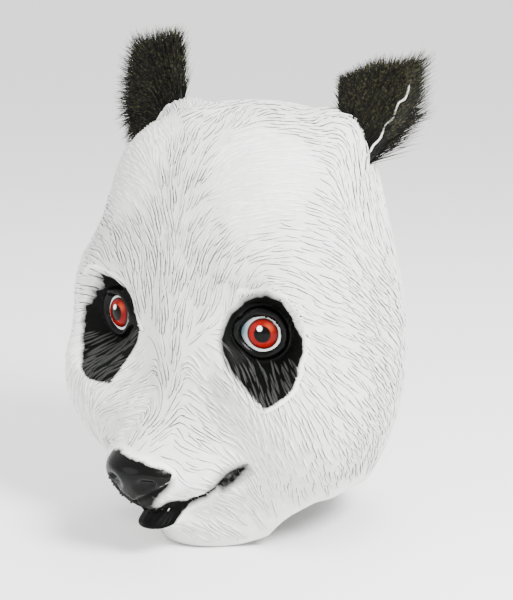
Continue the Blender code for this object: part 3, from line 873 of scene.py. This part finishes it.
def spread_roots(hood, pitch, length):
    """Places for the locks: no two closer than the pitch across or a third of a lock along."""
    rng = np.random.default_rng(7)
    count = 95000
    up = rng.uniform(-0.93, 1.0, count)
    turn, rise = rng.uniform(-180, 180, count), np.degrees(np.arcsin(up))
    point = hood.at(turn, rise)
    reach = np.linalg.norm(point - CAST_MIDDLE, axis=-1)
    slant = np.abs((hood.normal(turn, rise) * (point - CAST_MIDDLE)).sum(-1)) / reach
    area = reach ** 2 / np.maximum(slant, 0.25)
    keep = (rng.uniform(0, area.max(), count) < area) & over_rim(point, 0.004)
    keep &= furry(point) > 0.3
    turn, rise, point = turn[keep], rise[keep], point[keep]
    east, north = comb_turn(turn, rise)
    t, e = np.radians(turn), np.radians(rise)
    east_way = np.stack([np.cos(t), np.sin(t), np.zeros_like(t)], -1)
    north_way = np.stack([-np.sin(t) * np.sin(e), np.cos(t) * np.sin(e), np.cos(e)], -1)
    way = east_way * east[:, None] + north_way * north[:, None]
    chosen = thin_out(point, way, pitch, length)
    return turn[chosen], rise[chosen]


def over_rim(point, margin):
    """Whether points are over the neck edge by more than a margin."""
    turn = np.degrees(np.arctan2(np.abs(point[..., 0]), -point[..., 1]))
    return point[..., 2] > rim_height(turn) + margin


def comb_locks(hood, turn, rise, step, sway):
    """Walks every lock from its root along the comb: degrees round and up, and points."""
    turns, rises, points = [], [], []
    for _ in range(LOCK_STATIONS):
        east, north = comb_turn(turn, rise)
        c, s = np.cos(sway), np.sin(sway)
        east, north = east * c - north * s, east * s + north * c
        here = hood.at(turn, rise)
        turns.append(turn)
        rises.append(rise)
        points.append(here)
        reach = np.linalg.norm(here - CAST_MIDDLE, axis=-1)
        flat = np.maximum(np.cos(np.radians(rise)), 0.12)
        delta = np.degrees(step / reach)
        trial = hood.at(turn + east * delta / flat, rise + north * delta)
        ratio = step / np.maximum(np.linalg.norm(trial - here, axis=-1), step * 0.4)
        turn = turn + east * delta * ratio / flat
        rise = rise + north * delta * ratio
    return np.stack(turns, 1), np.stack(rises, 1), np.stack(points, 1)


def lock_faces(count):
    """Faces of three-sided closed locks whose points run left, crest, right at each station."""
    faces = []
    for lock in range(count):
        base = lock * LOCK_STATIONS * 3
        for a in range(base, base + (LOCK_STATIONS - 1) * 3, 3):
            for one, two in ((0, 1), (1, 2), (2, 0)):
                faces.append((a + one, a + 3 + one, a + 3 + two, a + two))
        end = base + (LOCK_STATIONS - 1) * 3
        faces.append((base, base + 1, base + 2))
        faces.append((end + 2, end + 1, end))
    return faces


class MASK_OT_hair(bpy.types.Operator):
    """Lays the sculpted locks of hair on the latex skin, combed as the face is"""
    bl_idname = "mask.hair"
    bl_label = "Sculpted hair"

    def execute(self, context):
        sizes = context.scene.mask_sizes
        hood = Hood()
        turn, rise = spread_roots(hood, sizes.hair_pitch, sizes.hair_length)
        rng = np.random.default_rng(11)
        count = len(turn)
        length = sizes.hair_length * rng.uniform(0.55, 1.0, count)
        width = sizes.hair_width * rng.uniform(0.75, 1.15, count) / 2
        tall = sizes.hair_relief * rng.uniform(0.7, 1.2, count)
        sway = rng.normal(0, math.radians(5), count)
        turn, rise, path = comb_locks(hood, turn, rise, length / (LOCK_STATIONS - 1), sway)
        kept = over_rim(path, 0.003).all(1) & (furry(path).mean(1) > 0.4)
        turn, rise, path, width, tall = (values[kept] for values in (turn, rise, path, width, tall))
        normal = hood.normal(turn, rise)
        across = np.cross(normal, np.gradient(path, axis=1))
        across /= np.linalg.norm(across, axis=-1, keepdims=True) + 1e-12
        share = np.linspace(0, 1, LOCK_STATIONS)
        taper = np.sin(np.pi * share ** 0.75) ** 0.7
        carved = furry(path)
        faint = faintness(path)
        half = width[:, None] * np.maximum(taper * soft_step(0.05, 0.4, carved), 0.02)
        high = tall[:, None] * carved * (0.2 + 0.8 * taper) * (1 - 0.5 * faint) + 0.0002 * share
        left = path - across * half[..., None] - normal * LOCK_SINK
        right = path + across * half[..., None] - normal * LOCK_SINK
        crest = path + normal * (high - 0.0004 * (1 - carved))[..., None]
        points = np.stack([left, crest, right], 2).reshape(-1, 3)
        black, blur = paint(np.repeat(path[:, :, None], 3, 2).reshape(-1, 3))[:2]
        # Crests get the painted highlight inside the black; the edges get the groove colour, with the
        # grooves' painted shade.
        pale = np.zeros(len(points))
        pale[1::3] = CREST_HIGHLIGHT
        wash = (np.array(LOCK_WASH_AND_SHADE) * (1 - 0.5 * faint[..., None])).reshape(-1)
        shares = {"wash": wash, "black": black, "blur": blur, "pale": pale, "gloss": np.zeros(len(points))}
        latex = bpy.data.materials["painted_cast_latex"]
        count = len(path)
        pieces = max(1, math.ceil(count * LOCK_TRIANGLES / PIECE_TRIANGLES))
        for number, group in enumerate(np.array_split(np.arange(count), pieces)):
            span = slice(group[0] * LOCK_STATIONS * 3, (group[-1] + 1) * LOCK_STATIONS * 3)
            obj = mesh_object(f"sculpted_hair_{number + 1}", to_part(points[span]), lock_faces(len(group)),
                              {key: values[span] for key, values in shares.items()})
            finish_piece(obj, latex)
        return {"FINISHED"}


# Eyes


# The printed iris, and how far its middle is from the dome's towards the own left and up.
IRIS_RADIUS = 0.0109
IRIS_SHIFT = (0.0017, 0.0003)


def eye_material(name, sign):
    """Vacuum-formed clear dome over a printed eye: glass-like gloss, red iris with a dark ring."""
    colours = bpy.context.scene.mask_colours
    material, tree = new_material(name)
    place = add_node(tree, "ShaderNodeAttribute", attribute_name="eye_place").outputs["Vector"]
    fibres = add_node(tree, "ShaderNodeTexNoise", {"Vector": place, "Scale": 2.2, "Detail": 4.0})

    def fade(middle, start, end, low, high, kind="SMOOTHSTEP"):
        """Goes from low to high between two distances from a place, in iris radii."""
        away = add_node(tree, "ShaderNodeVectorMath", {0: place, 1: (*middle, 0.0)}, operation="DISTANCE")
        return add_node(tree, "ShaderNodeMapRange", {
            "Value": away.outputs["Value"], "From Min": start, "From Max": end, "To Min": low, "To Max": high,
        }, interpolation_type=kind).outputs[0]

    pupil = (0.0, 0.0)
    # The white greys towards the eye's inner corner: painted shade of the socket.
    white = add_node(tree, "ShaderNodeMix", {
        SHARE: fade((-1.6 * sign, 0.2), 0.3, 2.0, 1.0, 0.0, "LINEAR"),
        ONE: colours.eye_white, TWO: from_hex("566A74"),
    }, data_type="RGBA")
    # From below: iris fibres, an orange glow, a dark rim, the white, the pupil and a white spot, a printed
    # catch-light set where the lamp's reflection falls, so a painted highlight as well.
    base = colours.iris
    for share, colour in (
        (fibres.outputs[0], from_hex("5C0604")),
        (fade((0.38, 0.42), 0.0, 0.5, 0.6, 0.0), from_hex("C84822")),
        (fade(pupil, 0.80, 0.97, 0.0, 1.0), from_hex("2A0A08")),
        (fade(pupil, 0.99, 1.06, 0.0, 1.0, "LINEAR"), white.outputs[MIXED]),
        (fade(pupil, 0.50, 0.60, 1.0, 0.0), from_hex("050605")),
        (fade((-0.17, 0.37), 0.15, 0.20, 1.0, 0.0, "LINEAR"), from_hex("FFFFFF")),
    ):
        layer = add_node(tree, "ShaderNodeMix", {SHARE: share, ONE: base, TWO: colour}, data_type="RGBA")
        base = layer.outputs[MIXED]
    shade(tree, {"Base Color": base, "Roughness": 0.06, "Specular IOR Level": 0.12, "IOR": 1.4})
    return material


class MASK_OT_eyes(bpy.types.Operator):
    """Makes both domed eyes with their printed red irises"""
    bl_idname = "mask.eyes"
    bl_label = "Eyes"

    def execute(self, context):
        for side, sign in (("left", 1.0), ("right", -1.0)):
            half = EYE_WIDTH / 2
            ball = (half ** 2 + EYE_BULGE ** 2) / (2 * EYE_BULGE)
            bm = bmesh.new()
            bmesh.ops.create_uvsphere(bm, u_segments=64, v_segments=112, radius=ball,
                                      matrix=Matrix.Rotation(math.pi / 2, 4, "X"))
            cut = bmesh.ops.bisect_plane(
                bm, geom=bm.verts[:] + bm.edges[:] + bm.faces[:], dist=1e-7,
                plane_co=(0, EYE_BULGE - ball, 0), plane_no=(0, 1, 0), clear_outer=True)
            rim_edges = [item for item in cut["geom_cut"] if isinstance(item, bmesh.types.BMEdge)]
            bmesh.ops.contextual_create(bm, geom=rim_edges)
            bmesh.ops.translate(bm, verts=bm.verts, vec=(0, ball - EYE_BULGE, 0))
            for vert in bm.verts:
                vert.co.z *= EYE_TALL / EYE_WIDTH
                inner = max(0.0, -sign * vert.co.x / half)
                vert.co.z *= 1 - EYE_PINCH * inner ** 2
            bmesh.ops.recalc_face_normals(bm, faces=bm.faces)
            data = bpy.data.meshes.new("eye_dome_" + side)
            bm.to_mesh(data)
            bm.free()
            data.shade_smooth()
            data.set_sharp_from_angle(angle=math.radians(50))
            place = data.attributes.new("eye_place", "FLOAT_VECTOR", "POINT")
            for number, vert in enumerate(data.vertices):
                flat = (vert.co.x - IRIS_SHIFT[0], vert.co.z - IRIS_SHIFT[1])
                place.data[number].vector = (flat[0] / IRIS_RADIUS, flat[1] / IRIS_RADIUS, 0.0)
            spot = to_part(EYE_MIDDLE + EYE_FACING * EYE_GAP) * np.array([sign, 1, 1])
            data.transform(Matrix.Translation(Vector(spot)) @ Matrix.Rotation(sign * EYE_TURN, 4, "Z"))
            obj = bpy.data.objects.new("eye_dome_" + side, data)
            context.scene.collection.objects.link(obj)
            finish_piece(obj, eye_material("printed_eye_" + side, sign), ["eye_" + side])
        return {"FINISHED"}


# Ears


def leaf_row(table, along, column):
    """One column of an ear's table, at shares along its root."""
    values = np.array(table)
    return smooth_row(along, values[:, 0], values[:, EAR_COLUMNS.index(column)])


def ear_root():
    """First and last points of the ear's root on the hood."""
    ends = heading(np.radians(np.array(EAR_ROOT_ROUND)), np.radians(np.array(EAR_ROOT_UP)))
    return CAST_MIDDLE + ends * march(clay, CAST_MIDDLE, ends)[:, None]


def leaf_middle(table, along, reach):
    """Mid-surface of an ear leaf: shares along the root and out to the tip."""
    inner, outer = ear_root()
    slope = (outer - inner) / np.linalg.norm(outer - inner)
    mid = (inner + outer) / 2
    root = mid + slope * ((along - 0.5) * EAR_ROOT_LENGTH)[..., None]
    tip = np.stack([
        leaf_row(table, along, "outward") * EAR_SPREAD,
        leaf_row(table, along, "back") * EAR_SWEEP,
        leaf_row(table, along, "up") * EAR_RISE,
    ], -1)
    cup = np.sin(np.pi * np.clip(along, 0, 1)) * np.sin(np.pi * 0.6 * reach)
    return root + tip * reach[..., None] + np.array([0, 1, 0]) * (EAR_CUP * cup)[..., None]


def leaf_normal(table, along, reach):
    """Unit normal of the mid-surface, pointing to the front of the mask."""
    step = 0.02
    one = leaf_middle(table, along + step, reach) - leaf_middle(table, along - step, reach)
    two = leaf_middle(table, along, reach + step) - leaf_middle(table, along, reach - step)
    normal = np.cross(one, two)
    normal /= np.linalg.norm(normal, axis=-1, keepdims=True) + 1e-12
    return np.where(normal[..., 1:2] > 0, -normal, normal)


def ear_latex_material():
    """The same cast latex as the hood, unpainted inside the ear: off-white and satin."""
    colours = bpy.context.scene.mask_colours
    material, tree = new_material("cast_ear_latex")
    place = add_node(tree, "ShaderNodeTexCoord").outputs["Object"]
    blots = add_node(tree, "ShaderNodeTexNoise", {"Vector": place, "Scale": grain(11.11), "Detail": 3.0})
    base = add_node(tree, "ShaderNodeMix", {
        SHARE: blots.outputs[0], ONE: colours.latex, TWO: from_hex("C9CCC4"),
    }, data_type="RGBA")
    fine = add_node(tree, "ShaderNodeTexNoise", {"Vector": place, "Scale": grain(1.4286), "Detail": 3.0})
    bump = add_node(tree, "ShaderNodeBump", {
        "Strength": 0.4, "Distance": 0.0006, "Height": fine.outputs[0],
    })
    shade(tree, {
        "Base Color": base.outputs[MIXED], "Roughness": 0.48, "IOR": 1.52, "Normal": bump.outputs[0],
    })
    return material


def fur_material():
    """Acrylic long-pile fur: near-black roots, olive brown tips in tufts, a soft shine."""
    colours = bpy.context.scene.mask_colours
    material, tree = new_material("acrylic_pile_fur")
    place = add_node(tree, "ShaderNodeTexCoord").outputs["Object"]
    tip = add_node(tree, "ShaderNodeAttribute", attribute_name="tip").outputs["Fac"]
    tufts = add_node(tree, "ShaderNodeTexNoise", {"Vector": place, "Scale": grain(1.923), "Detail": 2.0})
    light = add_node(tree, "ShaderNodeMapRange", {
        "Value": tufts.outputs[0], "From Min": 0.54, "From Max": 0.64, "To Min": 0.0, "To Max": 1.0,
    })
    ends = add_node(tree, "ShaderNodeMath", {0: tip, 1: 2.6}, operation="POWER")
    share = add_node(tree, "ShaderNodeMath", {0: ends.outputs[0], 1: light.outputs[0]},
                     operation="MULTIPLY", use_clamp=True)
    base = add_node(tree, "ShaderNodeMix", {
        SHARE: share.outputs[0], ONE: colours.fur, TWO: colours.fur_tip,
    }, data_type="RGBA")
    shade(tree, {"Base Color": base.outputs[MIXED], "Roughness": 0.6, "Specular IOR Level": 0.2})
    return material


# How the pile strays: tufts about 7 mm across that bend together, and each strand's own part.
TUFTS_PER_METRE = 140.0
TUFT_BEND = 0.55
FUR_STRAY = 0.13
FULL_TURN = 6.28


def fur_tree(strand, material):
    """Geometry Nodes: strands scattered on a backing, laid along its stored directions."""
    tree = bpy.data.node_groups.new("ear_fur", "GeometryNodeTree")
    tree.interface.new_socket("Geometry", in_out="INPUT", socket_type="NodeSocketGeometry")
    count = tree.interface.new_socket("Strand density", in_out="INPUT", socket_type="NodeSocketFloat")
    long = tree.interface.new_socket("Strand length", in_out="INPUT", socket_type="NodeSocketFloat")
    seed = tree.interface.new_socket("Seed", in_out="INPUT", socket_type="NodeSocketInt")
    tree.interface.new_socket("Geometry", in_out="OUTPUT", socket_type="NodeSocketGeometry")
    given = add_node(tree, "NodeGroupInput")
    scatter = add_node(tree, "GeometryNodeDistributePointsOnFaces", {
        "Mesh": given.outputs["Geometry"],
        "Density": given.outputs["Strand density"],
        "Seed": given.outputs["Seed"],
    })
    lay = add_node(tree, "GeometryNodeInputNamedAttribute", {"Name": "lay"}, data_type="FLOAT_VECTOR")
    tuft = add_node(tree, "ShaderNodeTexNoise", {"Scale": TUFTS_PER_METRE, "Detail": 2.0})
    shift = add_node(tree, "ShaderNodeVectorMath", {0: tuft.outputs["Color"], 1: (0.5, 0.5, 0.5)},
                     operation="SUBTRACT")
    bend = add_node(tree, "ShaderNodeVectorMath", {0: shift.outputs[0], "Scale": TUFT_BEND},
                    operation="SCALE")
    way = add_node(tree, "ShaderNodeVectorMath", {0: lay.outputs[0], 1: bend.outputs[0]}, operation="ADD")
    stray = add_node(tree, "FunctionNodeRandomValue", {
        0: (-FUR_STRAY,) * 3, 1: (FUR_STRAY,) * 3, "Seed": 3,
    }, data_type="FLOAT_VECTOR")
    wild = add_node(tree, "ShaderNodeVectorMath", {0: way.outputs[0], 1: stray.outputs[0]}, operation="ADD")
    turned = add_node(tree, "FunctionNodeAlignRotationToVector", {"Vector": wild.outputs[0]}, axis="Z")
    spin = add_node(tree, "FunctionNodeRandomValue", {2: 0.0, 3: FULL_TURN, "Seed": 5}, data_type="FLOAT")
    own = add_node(tree, "FunctionNodeAxisAngleToRotation", {
        "Axis": (0.0, 0.0, 1.0), "Angle": spin.outputs[1],
    })
    both = add_node(tree, "FunctionNodeRotateRotation", {0: turned.outputs[0], 1: own.outputs[0]},
                    rotation_space="LOCAL")
    stretch = add_node(tree, "FunctionNodeRandomValue", {2: 0.55, 3: 1.0, "Seed": 9}, data_type="FLOAT")
    reach = add_node(tree, "GeometryNodeInputNamedAttribute", {"Name": "pile"}, data_type="FLOAT")
    long_here = add_node(tree, "ShaderNodeMath", {0: stretch.outputs[1], 1: reach.outputs[0]},
                         operation="MULTIPLY")
    long_all = add_node(tree, "ShaderNodeMath", {0: long_here.outputs[0], 1: given.outputs["Strand length"]},
                        operation="MULTIPLY")
    size = add_node(tree, "ShaderNodeCombineXYZ", {0: 1.0, 1: 1.0, 2: long_all.outputs[0]})
    shape = add_node(tree, "GeometryNodeObjectInfo", {"Object": strand})
    put = add_node(tree, "GeometryNodeInstanceOnPoints", {
        "Points": scatter.outputs[0], "Instance": shape.outputs["Geometry"],
        "Rotation": both.outputs[0], "Scale": size.outputs[0],
    })
    real = add_node(tree, "GeometryNodeRealizeInstances", {0: put.outputs[0]})
    dressed = add_node(tree, "GeometryNodeSetMaterial", {"Geometry": real.outputs[0], "Material": material})
    add_node(tree, "NodeGroupOutput", {"Geometry": dressed.outputs[0]})
    return tree, {"density": count.identifier, "length": long.identifier, "seed": seed.identifier}


def strand_object(width):
    """One bent, tapered strand, one metre long for scaling, with its share towards the tip."""
    levels = (0.0, 0.3, 0.6, 0.85, 1.0)
    points, faces, tip = [], [], []
    for level in levels:
        half = width / 2 * (1 - 0.9 * level ** 1.5)
        bow = 0.0030 * level ** 2
        for corner in range(3):
            angle = corner * 2 * math.pi / 3
            points.append((half * math.cos(angle) + bow, half * math.sin(angle) * 0.7, level))
            tip.append(level)
    for s in range(len(levels) - 1):
        for one, two in ((0, 1), (1, 2), (2, 0)):
            faces.append((s * 3 + one, s * 3 + two, s * 3 + 3 + two, s * 3 + 3 + one))
    faces.append((0, 2, 1))
    last = (len(levels) - 1) * 3
    faces.append((last, last + 1, last + 2))
    return mesh_object("fur_strand", points, faces, {"tip": tip})


# The pale seam of the left ear: shares along the root and outwards, then metres.
SEAM_PLACE = 0.91
SEAM_WAVE = 0.009
SEAM_WAVE_RATE = 31
SEAM_ENDS = (0.10, 0.74)
SEAM_LIFT = 0.0036
SEAM_HALF_DEPTH = 0.0030
SEAM_HALF_WIDTH = 0.0008
# The knitted backing: shares outwards, then metres.
BACKING_ENDS = (0.04, 0.80)
BACKING_GAP = 0.0002
BACKING_THICKNESS = 0.0012


class MASK_OT_ears(bpy.types.Operator):
    """Gives the ear leaves their latex and lays black fur on both sides of each"""
    bl_idname = "mask.ears"
    bl_label = "Fur ears"

    def execute(self, context):
        sizes = context.scene.mask_sizes
        latex = ear_latex_material()
        fur = fur_material()
        # The seam of the left ear shows its pale latex; the right ear's is hidden in dyed fur.
        for side, cover in (("left", latex), ("right", fur)):
            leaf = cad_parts["ear_lobe_" + side]
            leaf.data.materials.clear()
            leaf.data.materials.append(cover)
        strand = strand_object(sizes.fur_width)
        tree, names = fur_tree(strand, fur)
        for number, (side, sign, table, front_last, back_last) in enumerate(EARS):
            for label, face, last in (("front", 1.0, front_last), ("back", -1.0, back_last)):
                pad = self.backing(f"ear_backing_{label}_{side}", sign, table, face, last)
                area = sum(polygon.area for polygon in pad.data.polygons)
                hair = bpy.data.objects.new("pile", pad.data)
                context.scene.collection.objects.link(hair)
                grow = hair.modifiers.new("grow", "NODES")
                grow.node_group = tree
                grow[names["density"]] = sizes.fur_count / area
                grow[names["length"]] = sizes.fur_length
                grow[names["seed"]] = 20 + number * 2 + int(face > 0)
                graph = context.evaluated_depsgraph_get()
                data = bpy.data.meshes.new_from_object(
                    hair.evaluated_get(graph), preserve_all_data_layers=True, depsgraph=graph)
                name = f"ear_pile_{label}_{side}"
                data.name = name
                bpy.data.objects.remove(hair)
                piece = bpy.data.objects.new(name, data)
                context.scene.collection.objects.link(piece)
                finish_piece(piece, fur, [f"ear_fur_{label}_{side}"])
                finish_piece(pad, fur)
        bpy.data.objects.remove(strand)
        self.seam(latex)
        return {"FINISHED"}

    def seam(self, latex):
        """The pale seam that parts the front and back fur of the left ear."""
        reach = np.linspace(*SEAM_ENDS, 40)
        along = SEAM_PLACE + SEAM_WAVE * np.sin(reach * SEAM_WAVE_RATE)
        middle = leaf_middle(EAR_LEANING, along, reach)
        normal = leaf_normal(EAR_LEANING, along, reach)
        way = np.gradient(middle, axis=0)
        way /= np.linalg.norm(way, axis=-1, keepdims=True)
        across = np.cross(normal, way)
        sides = 8
        rings = []
        for corner in range(sides):
            angle = corner * 2 * math.pi / sides
            out = SEAM_LIFT + SEAM_HALF_DEPTH * math.cos(angle)
            rings.append(middle + normal * out + across * SEAM_HALF_WIDTH * math.sin(angle))
        points = np.stack(rings, 1)
        thin = np.ones(len(reach))
        thin[0], thin[-1] = 0.1, 0.1
        centre = points.mean(1, keepdims=True)
        points = centre + (points - centre) * thin[:, None, None]
        faces = []
        for r in range(len(reach) - 1):
            for c in range(sides):
                a, b = r * sides + c, r * sides + (c + 1) % sides
                faces.append((a, b, b + sides, a + sides))
        faces.append(tuple(range(sides))[::-1])
        faces.append(tuple(range((len(reach) - 1) * sides, len(reach) * sides)))
        seam = mesh_object("ear_seam_left", to_part(points.reshape(-1, 3)), faces)
        point_outwards(seam)
        finish_piece(seam, latex)

    def backing(self, name, sign, table, face, last):
        """The knitted backing of one fur side, with the lay and pile length of its fur."""
        columns, rows = 40, 30
        along, reach = np.meshgrid(np.linspace(0.0, last, columns + 1),
                                   np.linspace(*BACKING_ENDS, rows + 1))
        mid = leaf_middle(table, along, reach)
        normal = leaf_normal(table, along, reach) * face
        low = mid + normal * (EAR_WALL / 2 + BACKING_GAP)
        high = mid + normal * (EAR_WALL / 2 + BACKING_GAP + BACKING_THICKNESS)
        outward = leaf_middle(table, along, reach + 0.02) - mid
        outward /= np.linalg.norm(outward, axis=-1, keepdims=True)
        slope = leaf_middle(table, along + 0.02, reach) - mid
        slope /= np.linalg.norm(slope, axis=-1, keepdims=True)
        spread = 0.9 if sign > 0 else 1.9
        fan = (along / last - 0.5)[..., None] * spread
        lay = outward + normal * 0.14 + slope * fan
        lay /= np.linalg.norm(lay, axis=-1, keepdims=True)
        pile = 0.55 + 0.45 * (1 - reach)
        if sign > 0:
            pile = pile * (0.45 + 0.55 * soft_step(0.05, 0.45, along))
            pile = pile * (1 + 0.45 * soft_step(0.5, 0.8, along))
        mirror = np.array([sign, 1, 1])
        count = along.size
        points = np.concatenate([high.reshape(-1, 3), low.reshape(-1, 3)])
        faces = []
        for r in range(rows):
            for c in range(columns):
                a = r * (columns + 1) + c
                quad = (a, a + 1, a + columns + 2, a + columns + 1)
                faces.append(quad)
                faces.append(tuple(count + v for v in quad[::-1]))
        border = list(range(columns + 1))
        border += [r * (columns + 1) + columns for r in range(1, rows + 1)]
        border += [rows * (columns + 1) + c for c in range(columns - 1, -1, -1)]
        border += [r * (columns + 1) for r in range(rows - 1, 0, -1)]
        for one, two in zip(border, border[1:] + border[:1]):
            faces.append((two, one, count + one, count + two))
        pad = mesh_object(name, to_part(points) * mirror, faces,
                          {"tip": np.zeros(2 * count), "pile": np.tile(pile.reshape(-1), 2)})
        point_outwards(pad)
        attribute = pad.data.attributes.new("lay", "FLOAT_VECTOR", "POINT")
        values = np.tile((lay * mirror).reshape(-1), 2).astype(np.float32)
        attribute.data.foreach_set("vector", values)
        return pad


# Stage


FLOOR_REACH = 12.0
WORLD_LIGHT = 1.7
# Name, degrees round and up, distance and size in metres, watts.
LIGHTS = (
    ("key_light", 70, 38, 1.5, 0.6, 72.0),
    ("fill_light", -25, 15, 1.8, 1.2, 10.0),
    ("top_light", 200, 60, 1.6, 1.0, 12.0),
)
LIGHT_AIM = Vector((0, 0, -0.15))
SENSOR_WIDTH = 36
FRAME_HEIGHT_PIXELS = 600
FOCAL_PIXELS = 1933
CAMERA_TURN = 35
CAMERA_RISE = 11.5
CAMERA_DISTANCE = 1.45
CAMERA_AIM = Vector((-0.0025, 0.0123, -0.147))


def set_up(name, data, aim, azimuth, elevation, distance):
    """Adds a lamp or camera that looks at a point from degrees round and up."""
    a, e = math.radians(azimuth), math.radians(elevation)
    way = Vector((math.sin(a) * math.cos(e), -math.cos(a) * math.cos(e), math.sin(e)))
    obj = bpy.data.objects.new(name, data)
    obj.location = aim + way * distance
    obj.rotation_euler = way.to_track_quat("Z", "Y").to_euler()
    bpy.context.scene.collection.objects.link(obj)
    return obj


class MASK_OT_stage(bpy.types.Operator):
    """Sets up the pale floor, the soft lights and the camera"""
    bl_idname = "mask.stage"
    bl_label = "Stage"

    def execute(self, context):
        height = CAD_BOX[0][2] - 0.001
        corners = ((-1, -1), (1, -1), (1, 1), (-1, 1))
        points = [(x * FLOOR_REACH, y * FLOOR_REACH, height) for x, y in corners]
        floor = mesh_object("studio_floor", points, [(0, 1, 2, 3)])
        material, tree = new_material("matt_floor_paper")
        shade(tree, {"Base Color": context.scene.mask_colours.floor, "Roughness": 0.9})
        floor.data.materials.append(material)
        world = bpy.data.worlds.new("studio")
        world.use_nodes = True
        background = world.node_tree.nodes["Background"]
        background.inputs["Color"].default_value = (1.0, 1.0, 1.0, 1.0)
        background.inputs["Strength"].default_value = WORLD_LIGHT
        context.scene.world = world
        for name, azimuth, elevation, distance, size, power in LIGHTS:
            light = bpy.data.lights.new(name, "AREA")
            light.shape = "DISK"
            light.size = size
            light.energy = power
            set_up(name, light, LIGHT_AIM, azimuth, elevation, distance)
        camera = bpy.data.cameras.new("camera")
        camera.sensor_width = SENSOR_WIDTH
        camera.lens = FOCAL_PIXELS * SENSOR_WIDTH / FRAME_HEIGHT_PIXELS
        context.scene.camera = set_up("camera", camera, CAMERA_AIM, CAMERA_TURN, CAMERA_RISE, CAMERA_DISTANCE)
        return {"FINISHED"}


class MASK_PT_panel(bpy.types.Panel):
    """Lists the sizes, colours and steps of the mask"""
    bl_idname = "MASK_PT_panel"
    bl_label = "Panda mask"
    bl_space_type = "VIEW_3D"
    bl_region_type = "UI"
    bl_category = "Mask"

    def draw(self, context):
        for group in (context.scene.mask_sizes, context.scene.mask_colours):
            for key in group.__annotations__:
                self.layout.prop(group, key)
        for operator in OPERATORS:
            self.layout.operator(operator.bl_idname)


OPERATORS = (MASK_OT_stage, MASK_OT_skin, MASK_OT_hair, MASK_OT_eyes, MASK_OT_ears)
CLASSES = (MaskSizes, MaskColours) + OPERATORS + (MASK_PT_panel,)


def register():
    for cls in CLASSES:
        bpy.utils.register_class(cls)
    bpy.types.Scene.mask_sizes = PointerProperty(type=MaskSizes)
    bpy.types.Scene.mask_colours = PointerProperty(type=MaskColours)


def unregister():
    del bpy.types.Scene.mask_sizes
    del bpy.types.Scene.mask_colours
    for cls in reversed(CLASSES):
        bpy.utils.unregister_class(cls)


def main():
    register()
    bpy.ops.mask.stage()
    bpy.ops.mask.skin()
    bpy.ops.mask.hair()
    bpy.ops.mask.eyes()
    bpy.ops.mask.ears()


if __name__ == "__main__":
    main()
